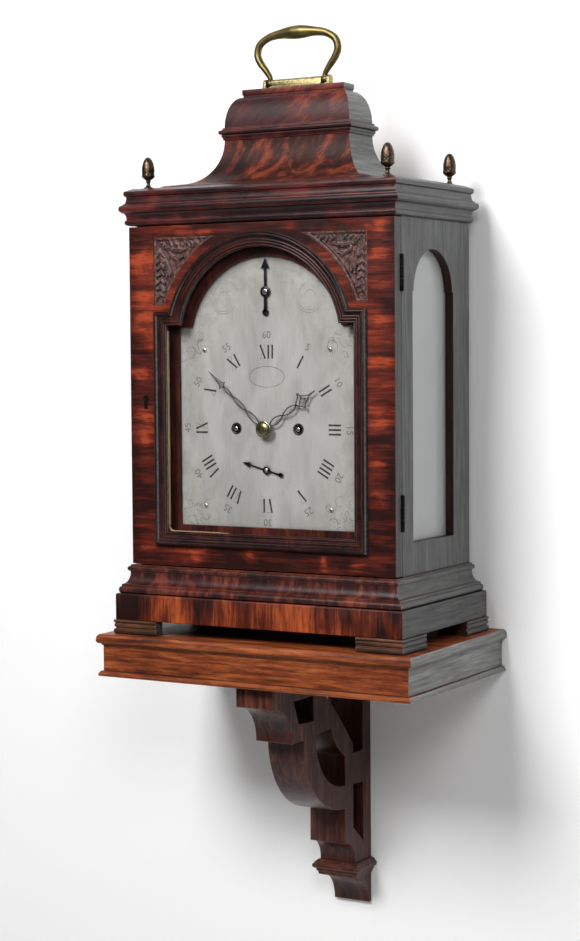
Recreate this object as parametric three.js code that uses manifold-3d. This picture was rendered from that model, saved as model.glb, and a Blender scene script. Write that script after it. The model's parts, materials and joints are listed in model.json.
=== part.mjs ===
// Bell-top bracket clock on its fretted wall bracket. Millimetres, +Z up, the dial faces -Y.
// Origin: on the wall plane, on the centre line, halfway up the back rail of the wall bracket.
import * as THREE from "three";
import { mergeVertices } from "three/addons/utils/BufferGeometryUtils.js";
import Module from "manifold-3d";

const wasm = await Module();
wasm.setup();

// ---------- clearances ----------
const GLUE = 0.05; // joint line between glued or screwed flat faces
const FIT = 0.3; // pieces let in, dropped in or cut round each other
const RUN = 0.25; // radial play round a turning shaft

// ---------- wall bracket ----------
const SHELF_WIDTH = 322;
const SHELF_DEPTH = 197;
const SHELF_THICKNESS = 10.4;
const RAIL_HEIGHT = 23.4;
const RAIL_SETBACK = 5; // shelf nose to frieze rail
const SOFFIT_THICKNESS = 5;
const SOFFIT_LIP = 3.6; // frieze rail to lower moulding
const CORBEL_THICKNESS = 38;
const CORBEL_PROJECTION = 184;
const CORBEL_BLOCK = 19; // height of the square top block
const CORBEL_COVE = 34;
const CORBEL_LEDGE = 22.5;
const CORBEL_SWEEP = 78; // radius of the big quarter round
const CORBEL_RIM = 22;
const CORBEL_DROP = 34; // straight stretch under the quarter round
const CORBEL_TAIL_COVE = 19.5;
const CORBEL_BAND = 18;
const CORBEL_STILE = 16;
const CORBEL_TOE = 4;
const CORBEL_TAIL = 29;
const TAIL_MOULDING_OUT = 6.5;

// ---------- case ----------
const CASE_WIDTH = 270;
const CASE_DEPTH = 148;
const CASE_HEIGHT = 308;
const BOARD = 14;
const STAND_OFF = 25; // case back to the wall
const FOOT_HEIGHT = 13;
const FOOT_WIDTH = 44;
const PLINTH_HEIGHT = 24;
const PLINTH_OUT = 12;
const PLINTH_THICKNESS = 22;
const BASE_HEIGHT = 26;
const CORNICE_HEIGHT = 33.6;
const WINDOW_HALF = 40.5;
const WINDOW_SILL = 28;
const WINDOW_SHOULDER = 245;
const WINDOW_CROWN = 282;
const WINDOW_RADIUS = 38.5;
const WINDOW_REBATE = 4;
const GLASS = 2;

// ---------- bell top ----------
const BELL_HALF_X = 64.4; // plan at the waist
const BELL_HALF_Y = 21.7;
const BELL_STEP = 3;
const BELL_STEP_OUT = 42;
const COVE_RUN = 30;
const COVE_RISE = 41;
const WAIST_HEIGHT = 11;
const WAIST_OUT = 4.3;
const DOME_RUN = 12.5;
const DOME_RISE = 28;
const CAP_HEIGHT = 7;
const CAP_OUT = 0.6;

// ---------- finials and handle ----------
const FINIAL_HEIGHT = 29;
const FINIAL_RADIUS = 6.3;
const FINIAL_INSET = 13;
const HANDLE_PLATE_HALF = 34.3;
const HANDLE_PLATE_HALF_Y = 4.5;
const HANDLE_PLATE_THICKNESS = 2;
const HANDLE_PIVOT_UP = 5; // above the cap block
const HANDLE_EYE_AT = 28.5;
const HANDLE_EYE_WIDTH = 5;
const HANDLE_EYE_RADIUS = 3.6;
const HANDLE_PIN_RADIUS = 1.1;
const HANDLE_HEIGHT = 44;
const HANDLE_HALF_WIDTH = 41.5;
const HANDLE_ROD = 3.1;
const HANDLE_GRIP = 5.8;

// ---------- front door ----------
const DOOR_THICKNESS = 12;
const DOOR_GAP = 1; // above and below the door
const SIGHT_HALF = 95.5;
const SIGHT_BOTTOM = 32;
const SIGHT_SHOULDER = 217.5;
const SIGHT_RADIUS = 82;
const SIGHT_ARC_UP = 204;
const SIGHT_MOULDING = 12.5;
const GLASS_REBATE = 5;
const DOOR_GLASS_BACK = 3.3; // door face to the glass
const SPANDREL_RADIUS = 103;
const SPANDREL_TOP = 297;
const SPANDREL_BOTTOM = 236;
const SPANDREL_OUTER = 108.5;
const SPANDREL_THICKNESS = 3;
const SPANDREL_SINK = 0.6;
const HINGE_LENGTH = 31;
const HINGE_UPPER = 260;
const HINGE_LOWER = 55;
const HINGE_KNUCKLE = 2.2;
const HINGE_PIN = 1;
const HINGE_LEAF = 1.4;
const HINGE_LEAF_WIDTH = 12;
const HINGE_OUT = 0.2; // pin line outside the case side
const LOCK_UP = 148;
const LOCK_HEIGHT = 40;
const LOCK_DEPTH = 8;
const LOCK_MARGIN = 6.5; // lock to the door edge
const LOCK_CLEAR = 8; // lock to the glass
const KEYHOLE_RADIUS = 1.8;
const KEYHOLE_SLOT = 1.8;
const KEYHOLE_UP = 2; // round of the keyhole above the middle of the lock
const KEYHOLE_DROP = 6;

// ---------- rear door ----------
const REAR_DOOR_THICKNESS = 12;
const REAR_STILE = 20;
const REAR_GLASS_BACK = 5;
const REAR_PIVOT_RADIUS = 1.5;
const REAR_PIVOT_LENGTH = 6;
const REAR_RAIL = 12; // bottom rail of the rear door

// ---------- dial ----------
const MASK_THICKNESS = 2.5;
const MASK_HALF = 90;
const MASK_BOTTOM = 37.5;
const MASK_SHOULDER = 216;
const MASK_RADIUS = 78.5;
const MASK_ARC_UP = 199.5;
const DIAL_THICKNESS = 1.6;
const DIAL_LAP = 3; // dial plate behind the mask's edge
const DIAL_CENTRE = 125.3; // above the case bottom
const STRIKE_HAND_UP = 121.2; // above the dial centre
const DATE_HAND_DOWN = 36.6; // below the dial centre
const DIAL_FOOT_X = 64.5;
const DIAL_FOOT_Z = 70;
const DIAL_FOOT_RADIUS = 2;
const WINDING_HOLE = 4;
const WINDING_SQUARE = 3.6;

// ---------- movement ----------
const DIAL_TO_PLATE = 11;
const PLATE_THICKNESS = 2.5;
const PLATE_HALF = 69;
const PLATE_ABOVE = 80; // above the dial centre
const PLATES_APART = 53.5;
const PILLAR_RADIUS = 3.5;
const PILLAR_IN = 8;
const FUSEE_AT = 31.8; // either side of the dial centre
const WHEEL_TEETH = 72;
const PINION_LEAVES = 6;
const THIRD_TEETH = 60;
const THIRD_UP = 24.2;
const ESCAPE_UP = 42.35;
const PALLETS_UP = 68;
const ESCAPE_TEETH = 39;
const ESCAPE_RADIUS = 15;
const STRIKE_WHEEL_RADIUS = 28;
const WHEEL_THICKNESS = 2.4;
const FUSEE_LARGE = 22;
const FUSEE_SMALL = 12.5;
const FUSEE_TURNS = 8;
const FUSEE_LENGTH = 32;
const BARREL_RADIUS = 26;
const BARREL_LENGTH = 32;
const BARREL_AT = 35;
const BARREL_DOWN = 58;
const ARBOR_RADIUS = 1.6;
const PIVOT_RADIUS = 0.9;
const HEAVY_ARBOR = 2.6;
const SMALL_ARBOR = 1.2;
const CENTRE_ARBOR = 1.2;
const MINUTE_PIPE = 2;
const HOUR_PIPE = 3.2;
const HAMMER_X = -54;
const HAMMER_UP = 58; // above the dial centre
const CRUTCH_LENGTH = 42;
const BOB_RADIUS = 19;
const BOB_THICKNESS = 10;
const GRAVITY = 9810;
const BELL_RADIUS = 34;
const BELL_HEIGHT = 30;
const BELL_WALL = 2.2;
const BELL_CLEAR = 5; // bell mouth above the plates

// ---------- hands ----------
const MINUTE_LENGTH = 76;
const HOUR_LENGTH = 62;
const HAND_THICKNESS = 1;
const MINUTE_ANGLE = -48; // degrees clockwise from twelve
const HOUR_ANGLE = 56;
const STRIKE_HAND_LENGTH = 26;
const DATE_HAND_LENGTH = 22;
const DATE_HAND_ANGLE = -75;

// ---------- levels and planes ----------
const railTop = RAIL_HEIGHT / 2;
const railBottom = -RAIL_HEIGHT / 2;
const shelfTop = railTop + SHELF_THICKNESS;
const soffitBottom = railBottom - SOFFIT_THICKNESS;
const footTop = shelfTop + FOOT_HEIGHT;
const plinthTop = footTop + PLINTH_HEIGHT;
const caseBottom = plinthTop + BASE_HEIGHT;
const caseTop = caseBottom + CASE_HEIGHT;
const corniceTop = caseTop + CORNICE_HEIGHT;
const coveBottom = corniceTop + BELL_STEP;
const waistBottom = coveBottom + COVE_RISE;
const domeBottom = waistBottom + WAIST_HEIGHT;
const capBottom = domeBottom + DOME_RISE;
const capTop = capBottom + CAP_HEIGHT;
const handlePivot = capTop + HANDLE_PIVOT_UP;

const caseBack = -STAND_OFF;
const doorFace = caseBack - CASE_DEPTH;
const doorBack = doorFace + DOOR_THICKNESS;
const caseFront = doorBack + FIT;
const caseMiddle = (doorFace + caseBack) / 2;
const caseHalf = CASE_WIDTH / 2;
const insideHalf = caseHalf - BOARD;
const floorTop = caseBottom + BOARD;
const ceiling = caseTop - BOARD;
const maskFront = caseFront;
const dialFace = maskFront + MASK_THICKNESS + FIT;
const dialBack = dialFace + DIAL_THICKNESS;
const frontPlate = dialBack + DIAL_TO_PLATE;
const backPlate = frontPlate + PLATE_THICKNESS + PLATES_APART;
const platesRear = backPlate + PLATE_THICKNESS;
const dialZ = caseBottom + DIAL_CENTRE;
const plateTop = dialZ + PLATE_ABOVE;
const trainFront = frontPlate + PLATE_THICKNESS;
const hingeX = caseHalf + HINGE_OUT;
const hingeY = doorBack + FIT / 2;

// ---------- solids ----------

/** Merges vertices, drops collapsed triangles and turns the faces outward. */
function tidy(source) {
  const bare = source.index ? source.clone() : source;
  bare.deleteAttribute("normal");
  bare.deleteAttribute("uv");
  const merged = mergeVertices(bare, 1e-4);
  const points = merged.getAttribute("position");
  const corners = merged.getIndex().array;
  const kept = [];
  let volume = 0;
  const a = new THREE.Vector3();
  const b = new THREE.Vector3();
  const c = new THREE.Vector3();
  for (let i = 0; i < corners.length; i += 3) {
    const [p, q, r] = [corners[i], corners[i + 1], corners[i + 2]];
    if (p === q || q === r || r === p) continue;
    kept.push(p, q, r);
    a.fromBufferAttribute(points, p);
    b.fromBufferAttribute(points, q);
    c.fromBufferAttribute(points, r);
    volume += a.dot(b.cross(c));
  }
  if (volume < 0) {
    for (let i = 0; i < kept.length; i += 3) {
      [kept[i + 1], kept[i + 2]] = [kept[i + 2], kept[i + 1]];
    }
  }
  merged.setIndex(kept);
  return merged;
}

function toManifold(geometry) {
  const clean = tidy(geometry);
  return new wasm.Manifold(
    new wasm.Mesh({
      numProp: 3,
      vertProperties: new Float32Array(clean.getAttribute("position").array),
      triVerts: new Uint32Array(clean.getIndex().array),
    }),
  );
}

function fromManifold(solid) {
  const mesh = solid.getMesh();
  const geometry = new THREE.BufferGeometry();
  geometry.setAttribute("position", new THREE.BufferAttribute(mesh.vertProperties, 3));
  geometry.setIndex(new THREE.BufferAttribute(mesh.triVerts, 1));
  return geometry;
}

/** First geometry plus all the others. */
function join(first, ...others) {
  return fromManifold(others.reduce((sum, next) => sum.add(toManifold(next)), toManifold(first)));
}

/** First geometry minus all the others. */
function cut(first, ...others) {
  return fromManifold(others.reduce((rest, next) => rest.subtract(toManifold(next)), toManifold(first)));
}

/** Skins a row of rings with equal point counts; a closed row is a torus, an open one gets caps. */
function loft(rings, closed = false) {
  const count = rings[0].length;
  const positions = rings.flat().flatMap((p) => [p.x, p.y, p.z]);
  const index = [];
  const spans = closed ? rings.length : rings.length - 1;
  for (let k = 0; k < spans; k += 1) {
    const here = k * count;
    const there = ((k + 1) % rings.length) * count;
    for (let i = 0; i < count; i += 1) {
      const j = (i + 1) % count;
      index.push(here + i, there + i, there + j, here + i, there + j, here + j);
    }
  }
  if (!closed) {
    capRing(rings[0], 0, index, true);
    capRing(rings[rings.length - 1], (rings.length - 1) * count, index, false);
  }
  const geometry = new THREE.BufferGeometry();
  geometry.setAttribute("position", new THREE.Float32BufferAttribute(positions, 3));
  geometry.setIndex(index);
  return tidy(geometry);
}

/** Fills a nearly flat ring, laid out in the plane it is widest in. */
function capRing(ring, offset, index, forward) {
  const size = new THREE.Box3().setFromPoints(ring).getSize(new THREE.Vector3());
  const axes = ["x", "y", "z"].sort((a, b) => size[b] - size[a]);
  const flat = ring.map((p) => new THREE.Vector2(p[axes[0]], p[axes[1]]));
  const faces = THREE.ShapeUtils.triangulateShape(flat, []);
  const turn = THREE.ShapeUtils.area(flat) * THREE.ShapeUtils.area(faces[0].map((i) => flat[i]));
  const keep = turn > 0 === forward;
  for (const [p, q, r] of faces) {
    index.push(offset + p, offset + (keep ? q : r), offset + (keep ? r : q));
  }
}

function block(x0, x1, y0, y1, z0, z1) {
  const geometry = new THREE.BoxGeometry(x1 - x0, y1 - y0, z1 - z0);
  return geometry.translate((x0 + x1) / 2, (y0 + y1) / 2, (z0 + z1) / 2);
}

/** Round bar along an axis, from one coordinate to the other. */
function bar(axis, radius, at, from, to, sides = 8) {
  const geometry = new THREE.CylinderGeometry(radius, radius, to - from, sides);
  const middle = (from + to) / 2;
  if (axis === "x") geometry.rotateZ(Math.PI / 2).translate(middle, at[0], at[1]);
  if (axis === "y") geometry.translate(at[0], middle, at[1]);
  if (axis === "z") geometry.rotateX(Math.PI / 2).translate(at[0], at[1], middle);
  return geometry;
}

/** Plate with an outline drawn in x and z, from its front face to its back face. */
function plate(shape, front, back, steps = 8) {
  const settings = { depth: back - front, bevelEnabled: false, curveSegments: steps };
  return new THREE.ExtrudeGeometry(shape, settings).rotateX(Math.PI / 2).translate(0, back, 0);
}

/** Turned solid about an upright axis, from [radius, height] pairs. */
function turned(profile, x, y, z, sides = 16) {
  const points = profile.map(([r, h]) => new THREE.Vector2(r, h));
  return new THREE.LatheGeometry(points, sides).rotateX(Math.PI / 2).translate(x, y, z);
}

/** Turned solid about a fore-and-aft axis, from [radius, y] pairs. */
function turnedAcross(profile, x, z, sides = 16) {
  const points = profile.map(([r, y]) => new THREE.Vector2(r, y));
  return new THREE.LatheGeometry(points, sides).translate(x, 0, z);
}

// ---------- mouldings ----------

const caseRect = { half: caseHalf, front: doorFace, back: caseBack };
const bellRect = { half: BELL_HALF_X, front: caseMiddle - BELL_HALF_Y, back: caseMiddle + BELL_HALF_Y };

/** Level rectangle grown by `out` on all four sides; the back may stay on the wall. */
function rectRing(rect, out, z, backOut = out) {
  const half = rect.half + out;
  return [
    new THREE.Vector3(-half, rect.front - out, z),
    new THREE.Vector3(half, rect.front - out, z),
    new THREE.Vector3(half, rect.back + backOut, z),
    new THREE.Vector3(-half, rect.back + backOut, z),
  ];
}

/** Solid mitred block whose four sides follow a profile of [out, z] points, bottom to top. */
const mitredBlock = (profile, rect, backOut) =>
  loft(profile.map(([out, z]) => rectRing(rect, out, z, backOut)));

/** Mitred frame: a closed profile of [out, z] points carried round the rectangle. */
const mitredFrame = (profile, rect) => loft(profile.map(([out, z]) => rectRing(rect, out, z)), true);

/** Quarter curve between two points; it leaves the first one level or upright. */
function quarter([x0, z0], [x1, z1], levelFirst, steps = 4) {
  const points = [];
  for (let i = 0; i <= steps; i += 1) {
    const turn = (i / steps) * (Math.PI / 2);
    const along = Math.sin(turn);
    const across = 1 - Math.cos(turn);
    const [fx, fz] = levelFirst ? [along, across] : [across, along];
    points.push([x0 + (x1 - x0) * fx, z0 + (z1 - z0) * fz]);
  }
  return points;
}

// ---------- break-arch outlines ----------

/** Points of a square-shouldered arch, grown evenly by `grow`. */
function archOutline(arch, grow = 0, steps = 16) {
  const half = arch.half + grow;
  const radius = arch.radius + grow;
  const shoulder = arch.shoulder + grow;
  const bottom = arch.bottom - grow;
  const footAngle = Math.asin((shoulder - arch.arcZ) / radius);
  const points = [new THREE.Vector2(-half, bottom), new THREE.Vector2(half, bottom)];
  points.push(new THREE.Vector2(half, shoulder));
  for (let i = 0; i <= steps; i += 1) {
    const angle = footAngle + ((Math.PI - 2 * footAngle) * i) / steps;
    points.push(new THREE.Vector2(radius * Math.cos(angle), arch.arcZ + radius * Math.sin(angle)));
  }
  points.push(new THREE.Vector2(-half, shoulder));
  return points;
}

const archPlate = (arch, grow, front, back, steps) =>
  plate(new THREE.Shape(archOutline(arch, grow, steps)), front, back);

const sight = {
  half: SIGHT_HALF,
  bottom: caseBottom + SIGHT_BOTTOM,
  shoulder: caseBottom + SIGHT_SHOULDER,
  radius: SIGHT_RADIUS,
  arcZ: caseBottom + SIGHT_ARC_UP,
};
const maskArch = {
  half: MASK_HALF,
  bottom: caseBottom + MASK_BOTTOM,
  shoulder: caseBottom + MASK_SHOULDER,
  radius: MASK_RADIUS,
  arcZ: caseBottom + MASK_ARC_UP,
};
const windowArch = {
  half: WINDOW_HALF,
  bottom: caseBottom + WINDOW_SILL,
  shoulder: caseBottom + WINDOW_SHOULDER,
  radius: WINDOW_RADIUS,
  arcZ: caseBottom + WINDOW_CROWN - WINDOW_RADIUS,
};

// ---------- wall bracket ----------

const shelfRect = { half: SHELF_WIDTH / 2, front: -SHELF_DEPTH, back: 0 };
const friezeOut = -RAIL_SETBACK;

function shelfBoard() {
  const nose = SHELF_THICKNESS * 0.45;
  const low = railTop + GLUE;
  return mitredBlock(
    [
      [friezeOut + 1, low],
      [friezeOut + 1.2, low + 1],
      ...quarter([-3.4, low + 1.6], [0, low + nose], true, 3),
      ...quarter([-0.2, low + nose + 1.5], [-3.6, shelfTop], false, 3),
    ],
    shelfRect,
    0,
  );
}

/** Frieze between shelf and soffit; the closed box it forms with them is left solid. */
const shelfFrieze = () =>
  mitredBlock(
    [
      [friezeOut, railBottom],
      [friezeOut, railTop],
    ],
    shelfRect,
    0,
  );

function shelfSoffit() {
  const high = railBottom - GLUE;
  return mitredBlock(
    [
      [friezeOut + SOFFIT_LIP - 0.8, soffitBottom],
      [friezeOut + SOFFIT_LIP, soffitBottom + 1],
      [friezeOut + SOFFIT_LIP, soffitBottom + 2.2],
      ...quarter([friezeOut + SOFFIT_LIP - 0.6, soffitBottom + 2.8], [friezeOut + 0.4, high], false, 2),
    ],
    shelfRect,
    0,
  );
}

// Corbel levels, below the soffit.
const corbelTop = soffitBottom - GLUE;
const coveTop = corbelTop - CORBEL_BLOCK;
const ledgeZ = coveTop - CORBEL_COVE - 2;
const sweepBack = CORBEL_PROJECTION - CORBEL_COVE + 2 - CORBEL_LEDGE - CORBEL_SWEEP;
const sweepBottom = ledgeZ - CORBEL_SWEEP;
const dropBottom = sweepBottom - CORBEL_DROP;
const bandTop = dropBottom - CORBEL_TAIL_COVE;
const bandBottom = bandTop - CORBEL_BAND;
const corbelBottom = bandBottom - CORBEL_TAIL;
const bandFront = sweepBack - CORBEL_TAIL_COVE;

/** Turns an outline drawn as (distance from the wall, z) into a board of the corbel's thickness. */
function corbelBoard(shape, thickness = CORBEL_THICKNESS) {
  const settings = { depth: thickness, bevelEnabled: false, curveSegments: 6 };
  const geometry = new THREE.ExtrudeGeometry(shape, settings);
  const turn = new THREE.Matrix4().makeBasis(
    new THREE.Vector3(0, -1, 0),
    new THREE.Vector3(0, 0, 1),
    new THREE.Vector3(1, 0, 0),
  );
  return tidy(geometry.applyMatrix4(turn).translate(-thickness / 2, 0, 0));
}

function corbel() {
  const outline = new THREE.Shape();
  outline.moveTo(0, corbelTop);
  outline.lineTo(CORBEL_PROJECTION, corbelTop);
  outline.lineTo(CORBEL_PROJECTION, coveTop);
  outline.absarc(CORBEL_PROJECTION, coveTop - CORBEL_COVE, CORBEL_COVE, Math.PI / 2, Math.PI, false);
  outline.lineTo(CORBEL_PROJECTION - CORBEL_COVE, ledgeZ);
  outline.lineTo(sweepBack + CORBEL_SWEEP, ledgeZ);
  outline.absarc(sweepBack, ledgeZ, CORBEL_SWEEP, 0, -Math.PI / 2, true);
  outline.lineTo(sweepBack, dropBottom);
  outline.absarc(sweepBack, bandTop, CORBEL_TAIL_COVE, Math.PI / 2, Math.PI, false);
  outline.lineTo(bandFront, bandBottom);
  outline.lineTo(bandFront - 3, bandBottom);
  const toe = bandFront - 3 - CORBEL_TOE;
  outline.absellipse(bandFront - 3, corbelBottom, toe, CORBEL_TAIL - 1, Math.PI / 2, Math.PI, false);
  outline.lineTo(0, corbelBottom);
  outline.closePath();
  outline.holes.push(...corbelFrets());
  return corbelBoard(outline);
}

/** The four sawn openings: front quadrilateral, lens, back spandrel and tail slot. */
function corbelFrets() {
  const stileFront = sweepBack;
  const stileBack = sweepBack - CORBEL_STILE;
  const backRail = CORBEL_STILE - 0.5;
  const fretTop = corbelTop - 17;
  const fretLow = corbelTop - 40;
  const front = new THREE.Path();
  front.moveTo(CORBEL_PROJECTION - 37, fretTop);
  front.lineTo(CORBEL_PROJECTION - 73, fretTop);
  front.lineTo(CORBEL_PROJECTION - 73, fretLow);
  front.lineTo(CORBEL_PROJECTION - 46, fretLow + 1);
  front.closePath();

  const inner = CORBEL_SWEEP - CORBEL_RIM;
  const lens = new THREE.Path();
  lens.moveTo(stileFront, ledgeZ - inner);
  lens.absarc(stileFront, ledgeZ, inner, -Math.PI / 2, 0, false);
  lens.lineTo(stileFront + inner, ledgeZ + 2);
  lens.lineTo(stileFront + 27, ledgeZ + 2);
  lens.quadraticCurveTo(stileFront + 20, ledgeZ - 16, stileFront, ledgeZ - 28);
  lens.closePath();

  const spandrel = new THREE.Path();
  spandrel.moveTo(stileFront + 40, fretTop);
  spandrel.lineTo(backRail, fretTop);
  spandrel.lineTo(backRail, ledgeZ - 28);
  spandrel.lineTo(stileBack, ledgeZ - 28);
  spandrel.lineTo(stileBack, ledgeZ - 19);
  spandrel.quadraticCurveTo(stileFront + 12, fretTop - 24, stileFront + 40, fretTop);
  spandrel.closePath();

  const slot = new THREE.Path();
  slot.moveTo(stileBack, ledgeZ - 58);
  slot.lineTo(backRail, ledgeZ - 59);
  slot.lineTo(backRail, dropBottom - 4);
  slot.lineTo(stileBack, dropBottom + 13);
  slot.closePath();
  return [front, lens, spandrel, slot];
}

/** Moulding round the front and sides of the corbel's tail, mitred at the two front corners. */
function corbelMoulding() {
  const tall = CORBEL_BAND - 4;
  const low = bandBottom + 1;
  const profile = [
    [GLUE, low],
    [1.5, low],
    [2.6, low + 0.2 * tall],
    [TAIL_MOULDING_OUT - 1.6, low + 0.42 * tall],
    [TAIL_MOULDING_OUT - 1.4, low + 0.52 * tall],
    [TAIL_MOULDING_OUT, low + 0.62 * tall],
    [TAIL_MOULDING_OUT, low + 0.76 * tall],
    [TAIL_MOULDING_OUT - 1.4, low + 0.88 * tall],
    [2, low + tall],
    [GLUE, low + tall],
  ];
  const half = CORBEL_THICKNESS / 2;
  const stations = [
    ([out, z]) => new THREE.Vector3(-half - out, 0, z),
    ([out, z]) => new THREE.Vector3(-half - out, -bandFront - out, z),
    ([out, z]) => new THREE.Vector3(half + out, -bandFront - out, z),
    ([out, z]) => new THREE.Vector3(half + out, 0, z),
  ];
  const rings = stations.map((place) => profile.map(place));
  return loft(rings);
}

// ---------- case ----------

/** Rounds of the butt hinge's knuckle and its leaf, cut into the wood at one hinge. */
function hingeSeat(middle, leafFront, leafBack) {
  const low = middle - HINGE_LENGTH / 2 - FIT;
  const high = middle + HINGE_LENGTH / 2 + FIT;
  return [
    bar("z", HINGE_KNUCKLE + FIT + 0.2, [hingeX, hingeY], low, high, 12),
    block(caseHalf - HINGE_LEAF_WIDTH - FIT, caseHalf + 1, leafFront, leafBack, low, high),
  ];
}

const hingeLevels = [caseBottom + HINGE_UPPER, caseBottom + HINGE_LOWER];

function caseSide(side) {
  const inner = caseHalf - BOARD;
  const panel = new THREE.Shape(archOutline(windowArch));
  const turn = new THREE.Matrix4().makeBasis(
    new THREE.Vector3(0, 1, 0),
    new THREE.Vector3(0, 0, 1),
    new THREE.Vector3(1, 0, 0),
  );
  const through = (grow, from, to) => {
    const shape = grow === 0 ? panel : new THREE.Shape(archOutline(windowArch, grow));
    const solid = new THREE.ExtrudeGeometry(shape, { depth: to - from, bevelEnabled: false });
    return solid.applyMatrix4(turn).translate(from, caseMiddle, 0);
  };
  let board = cut(
    block(inner, caseHalf, caseFront, caseBack, caseBottom, caseTop),
    through(0, inner - 1, caseHalf + 1),
    through(WINDOW_REBATE, inner - 1, caseHalf - 8),
  );
  if (side > 0) {
    const leaf = [caseFront - 1, caseFront + HINGE_LEAF + FIT];
    board = cut(board, ...hingeLevels.flatMap((z) => hingeSeat(z, ...leaf)));
  } else {
    board = tidy(board.scale(-1, 1, 1));
  }
  return board;
}

function sideGlass(side) {
  const turn = new THREE.Matrix4().makeBasis(
    new THREE.Vector3(0, 1, 0),
    new THREE.Vector3(0, 0, 1),
    new THREE.Vector3(1, 0, 0),
  );
  const shape = new THREE.Shape(archOutline(windowArch, WINDOW_REBATE - FIT));
  const pane = new THREE.ExtrudeGeometry(shape, { depth: GLASS, bevelEnabled: false });
  pane.applyMatrix4(turn).translate(caseHalf - 8 - FIT - GLASS, caseMiddle, 0);
  return tidy(side > 0 ? pane : pane.scale(-1, 1, 1));
}

const pivotX = -insideHalf + FIT + REAR_DOOR_THICKNESS / 2;
const pivotY = caseBack - REAR_DOOR_THICKNESS / 2;

function caseFloor() {
  const half = insideHalf - GLUE;
  const board = block(-half, half, caseFront, caseBack, caseBottom, floorTop);
  const deep = REAR_PIVOT_LENGTH + FIT;
  return cut(board, bar("z", REAR_PIVOT_RADIUS + RUN, [pivotX, pivotY], floorTop - deep, floorTop + 1));
}

function caseTopBoard() {
  const half = insideHalf - GLUE;
  const board = block(-half, half, caseFront, caseBack, ceiling, caseTop);
  const deep = REAR_PIVOT_LENGTH + FIT;
  return cut(board, bar("z", REAR_PIVOT_RADIUS + RUN, [pivotX, pivotY], ceiling - 1, ceiling + deep));
}

/** Plinth frame under the case, mitred at all four corners. */
function plinth() {
  const inner = PLINTH_OUT - PLINTH_THICKNESS;
  return mitredFrame(
    [
      [inner, footTop + GLUE],
      [PLINTH_OUT + 0.6, footTop + GLUE],
      [PLINTH_OUT + 0.6, plinthTop - 1],
      [PLINTH_OUT - 0.2, plinthTop - GLUE],
      [inner, plinthTop - GLUE],
    ],
    caseRect,
  );
}

function baseMoulding() {
  const inner = -10;
  const low = plinthTop;
  return mitredFrame(
    [
      [inner, low],
      [9.6, low],
      [10.8, low + 1.4],
      [10.8, low + 3.2],
      [9.8, low + 5],
      ...quarter([9, low + 5.6], [3.2, low + 17], false, 4),
      [3.2, low + 19],
      [4.9, low + 20.6],
      [5.2, low + 22.4],
      [4, low + 24],
      [2, low + 25],
      [2, low + BASE_HEIGHT - GLUE],
      [inner, low + BASE_HEIGHT - GLUE],
    ],
    caseRect,
  );
}

/** Block foot with a hollow moulded face, under one corner of the plinth. */
function foot(sideX, sideY) {
  const edgeX = sideX * (caseHalf + PLINTH_OUT - 1);
  const edgeY = sideY < 0 ? doorFace - PLINTH_OUT + 1 : caseBack + PLINTH_OUT - 1;
  const centreX = edgeX - (sideX * FOOT_WIDTH) / 2;
  const centreY = edgeY - (sideY * FOOT_WIDTH) / 2;
  const rect = {
    half: FOOT_WIDTH / 2,
    front: centreY - FOOT_WIDTH / 2,
    back: centreY + FOOT_WIDTH / 2,
  };
  const low = shelfTop + GLUE;
  const profile = [
    [-1.2, low],
    [-0.6, low + 0.8],
    [-0.6, low + 3],
    [-1.6, low + 3.8],
    ...quarter([-3.4, low + 4.2], [-0.6, footTop - 3], false, 3),
    [0, footTop - 2.4],
    [0, footTop - GLUE],
  ];
  return mitredBlock(profile, rect).translate(centreX, 0, 0);
}

/** Cornice; the space that it closes over the top board is left solid. */
function cornice() {
  const low = caseTop + GLUE;
  return mitredBlock(
    [
      [0.6, low],
      [1.6, low + 1.6],
      [3, low + 2.8],
      [3, low + 4.2],
      [1.5, low + 5.6],
      ...quarter([1.6, low + 6.4], [4.6, low + 11.6], false, 3),
      [5.4, low + 12.4],
      [6.8, low + 14],
      [6.8, low + 16.6],
      [5.8, low + 18],
      [4.2, low + 18.6],
      ...quarter([4, low + 19.4], [1.6, low + 25], true, 3),
      [1.8, low + 26.4],
      [3.2, low + 27.6],
      [3.4, low + 29.4],
      [2.6, low + 31],
      [0, low + 32.4],
      [-2.6, corniceTop],
    ],
    caseRect,
  );
}

// ---------- bell top ----------

function bellCove() {
  const step = BELL_STEP_OUT;
  return mitredBlock(
    [
      [step, corniceTop + GLUE],
      [step, corniceTop + 1.4],
      [step - 3, coveBottom - 0.6],
      [COVE_RUN + 2, coveBottom],
      ...quarter([COVE_RUN, coveBottom + 0.6], [0, waistBottom], true, 8),
    ],
    bellRect,
  );
}

function bellWaist() {
  const low = waistBottom + GLUE;
  const high = domeBottom - GLUE;
  return mitredBlock(
    [
      [1, low],
      [1.2, low + 2],
      [2, low + 2.6],
      [2.2, low + 4.2],
      [WAIST_OUT - 0.8, low + 5.2],
      [WAIST_OUT, low + 6.2],
      [WAIST_OUT, low + 7.6],
      [WAIST_OUT - 1, low + 8.6],
      [1.6, low + 9.4],
      [1.4, high],
    ],
    bellRect,
  );
}

function bellDome() {
  const profile = [];
  const steps = 8;
  for (let i = 0; i <= steps; i += 1) {
    const turn = (i / steps) * (Math.PI / 2) * 0.96;
    profile.push([-DOME_RUN * (1 - Math.cos(turn)), domeBottom + DOME_RISE * Math.sin(turn)]);
  }
  profile.push([-DOME_RUN, capBottom]);
  return mitredBlock(profile, bellRect);
}

function capBlock() {
  const out = -DOME_RUN;
  return mitredBlock(
    [
      [out - 0.2, capBottom + GLUE],
      [out - 0.2, capBottom + 1.6],
      [out + CAP_OUT, capBottom + 2.2],
      [out + CAP_OUT, capTop - 0.8],
      [out + CAP_OUT - 0.8, capTop],
    ],
    bellRect,
  );
}

// ---------- finials and handle ----------

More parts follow.
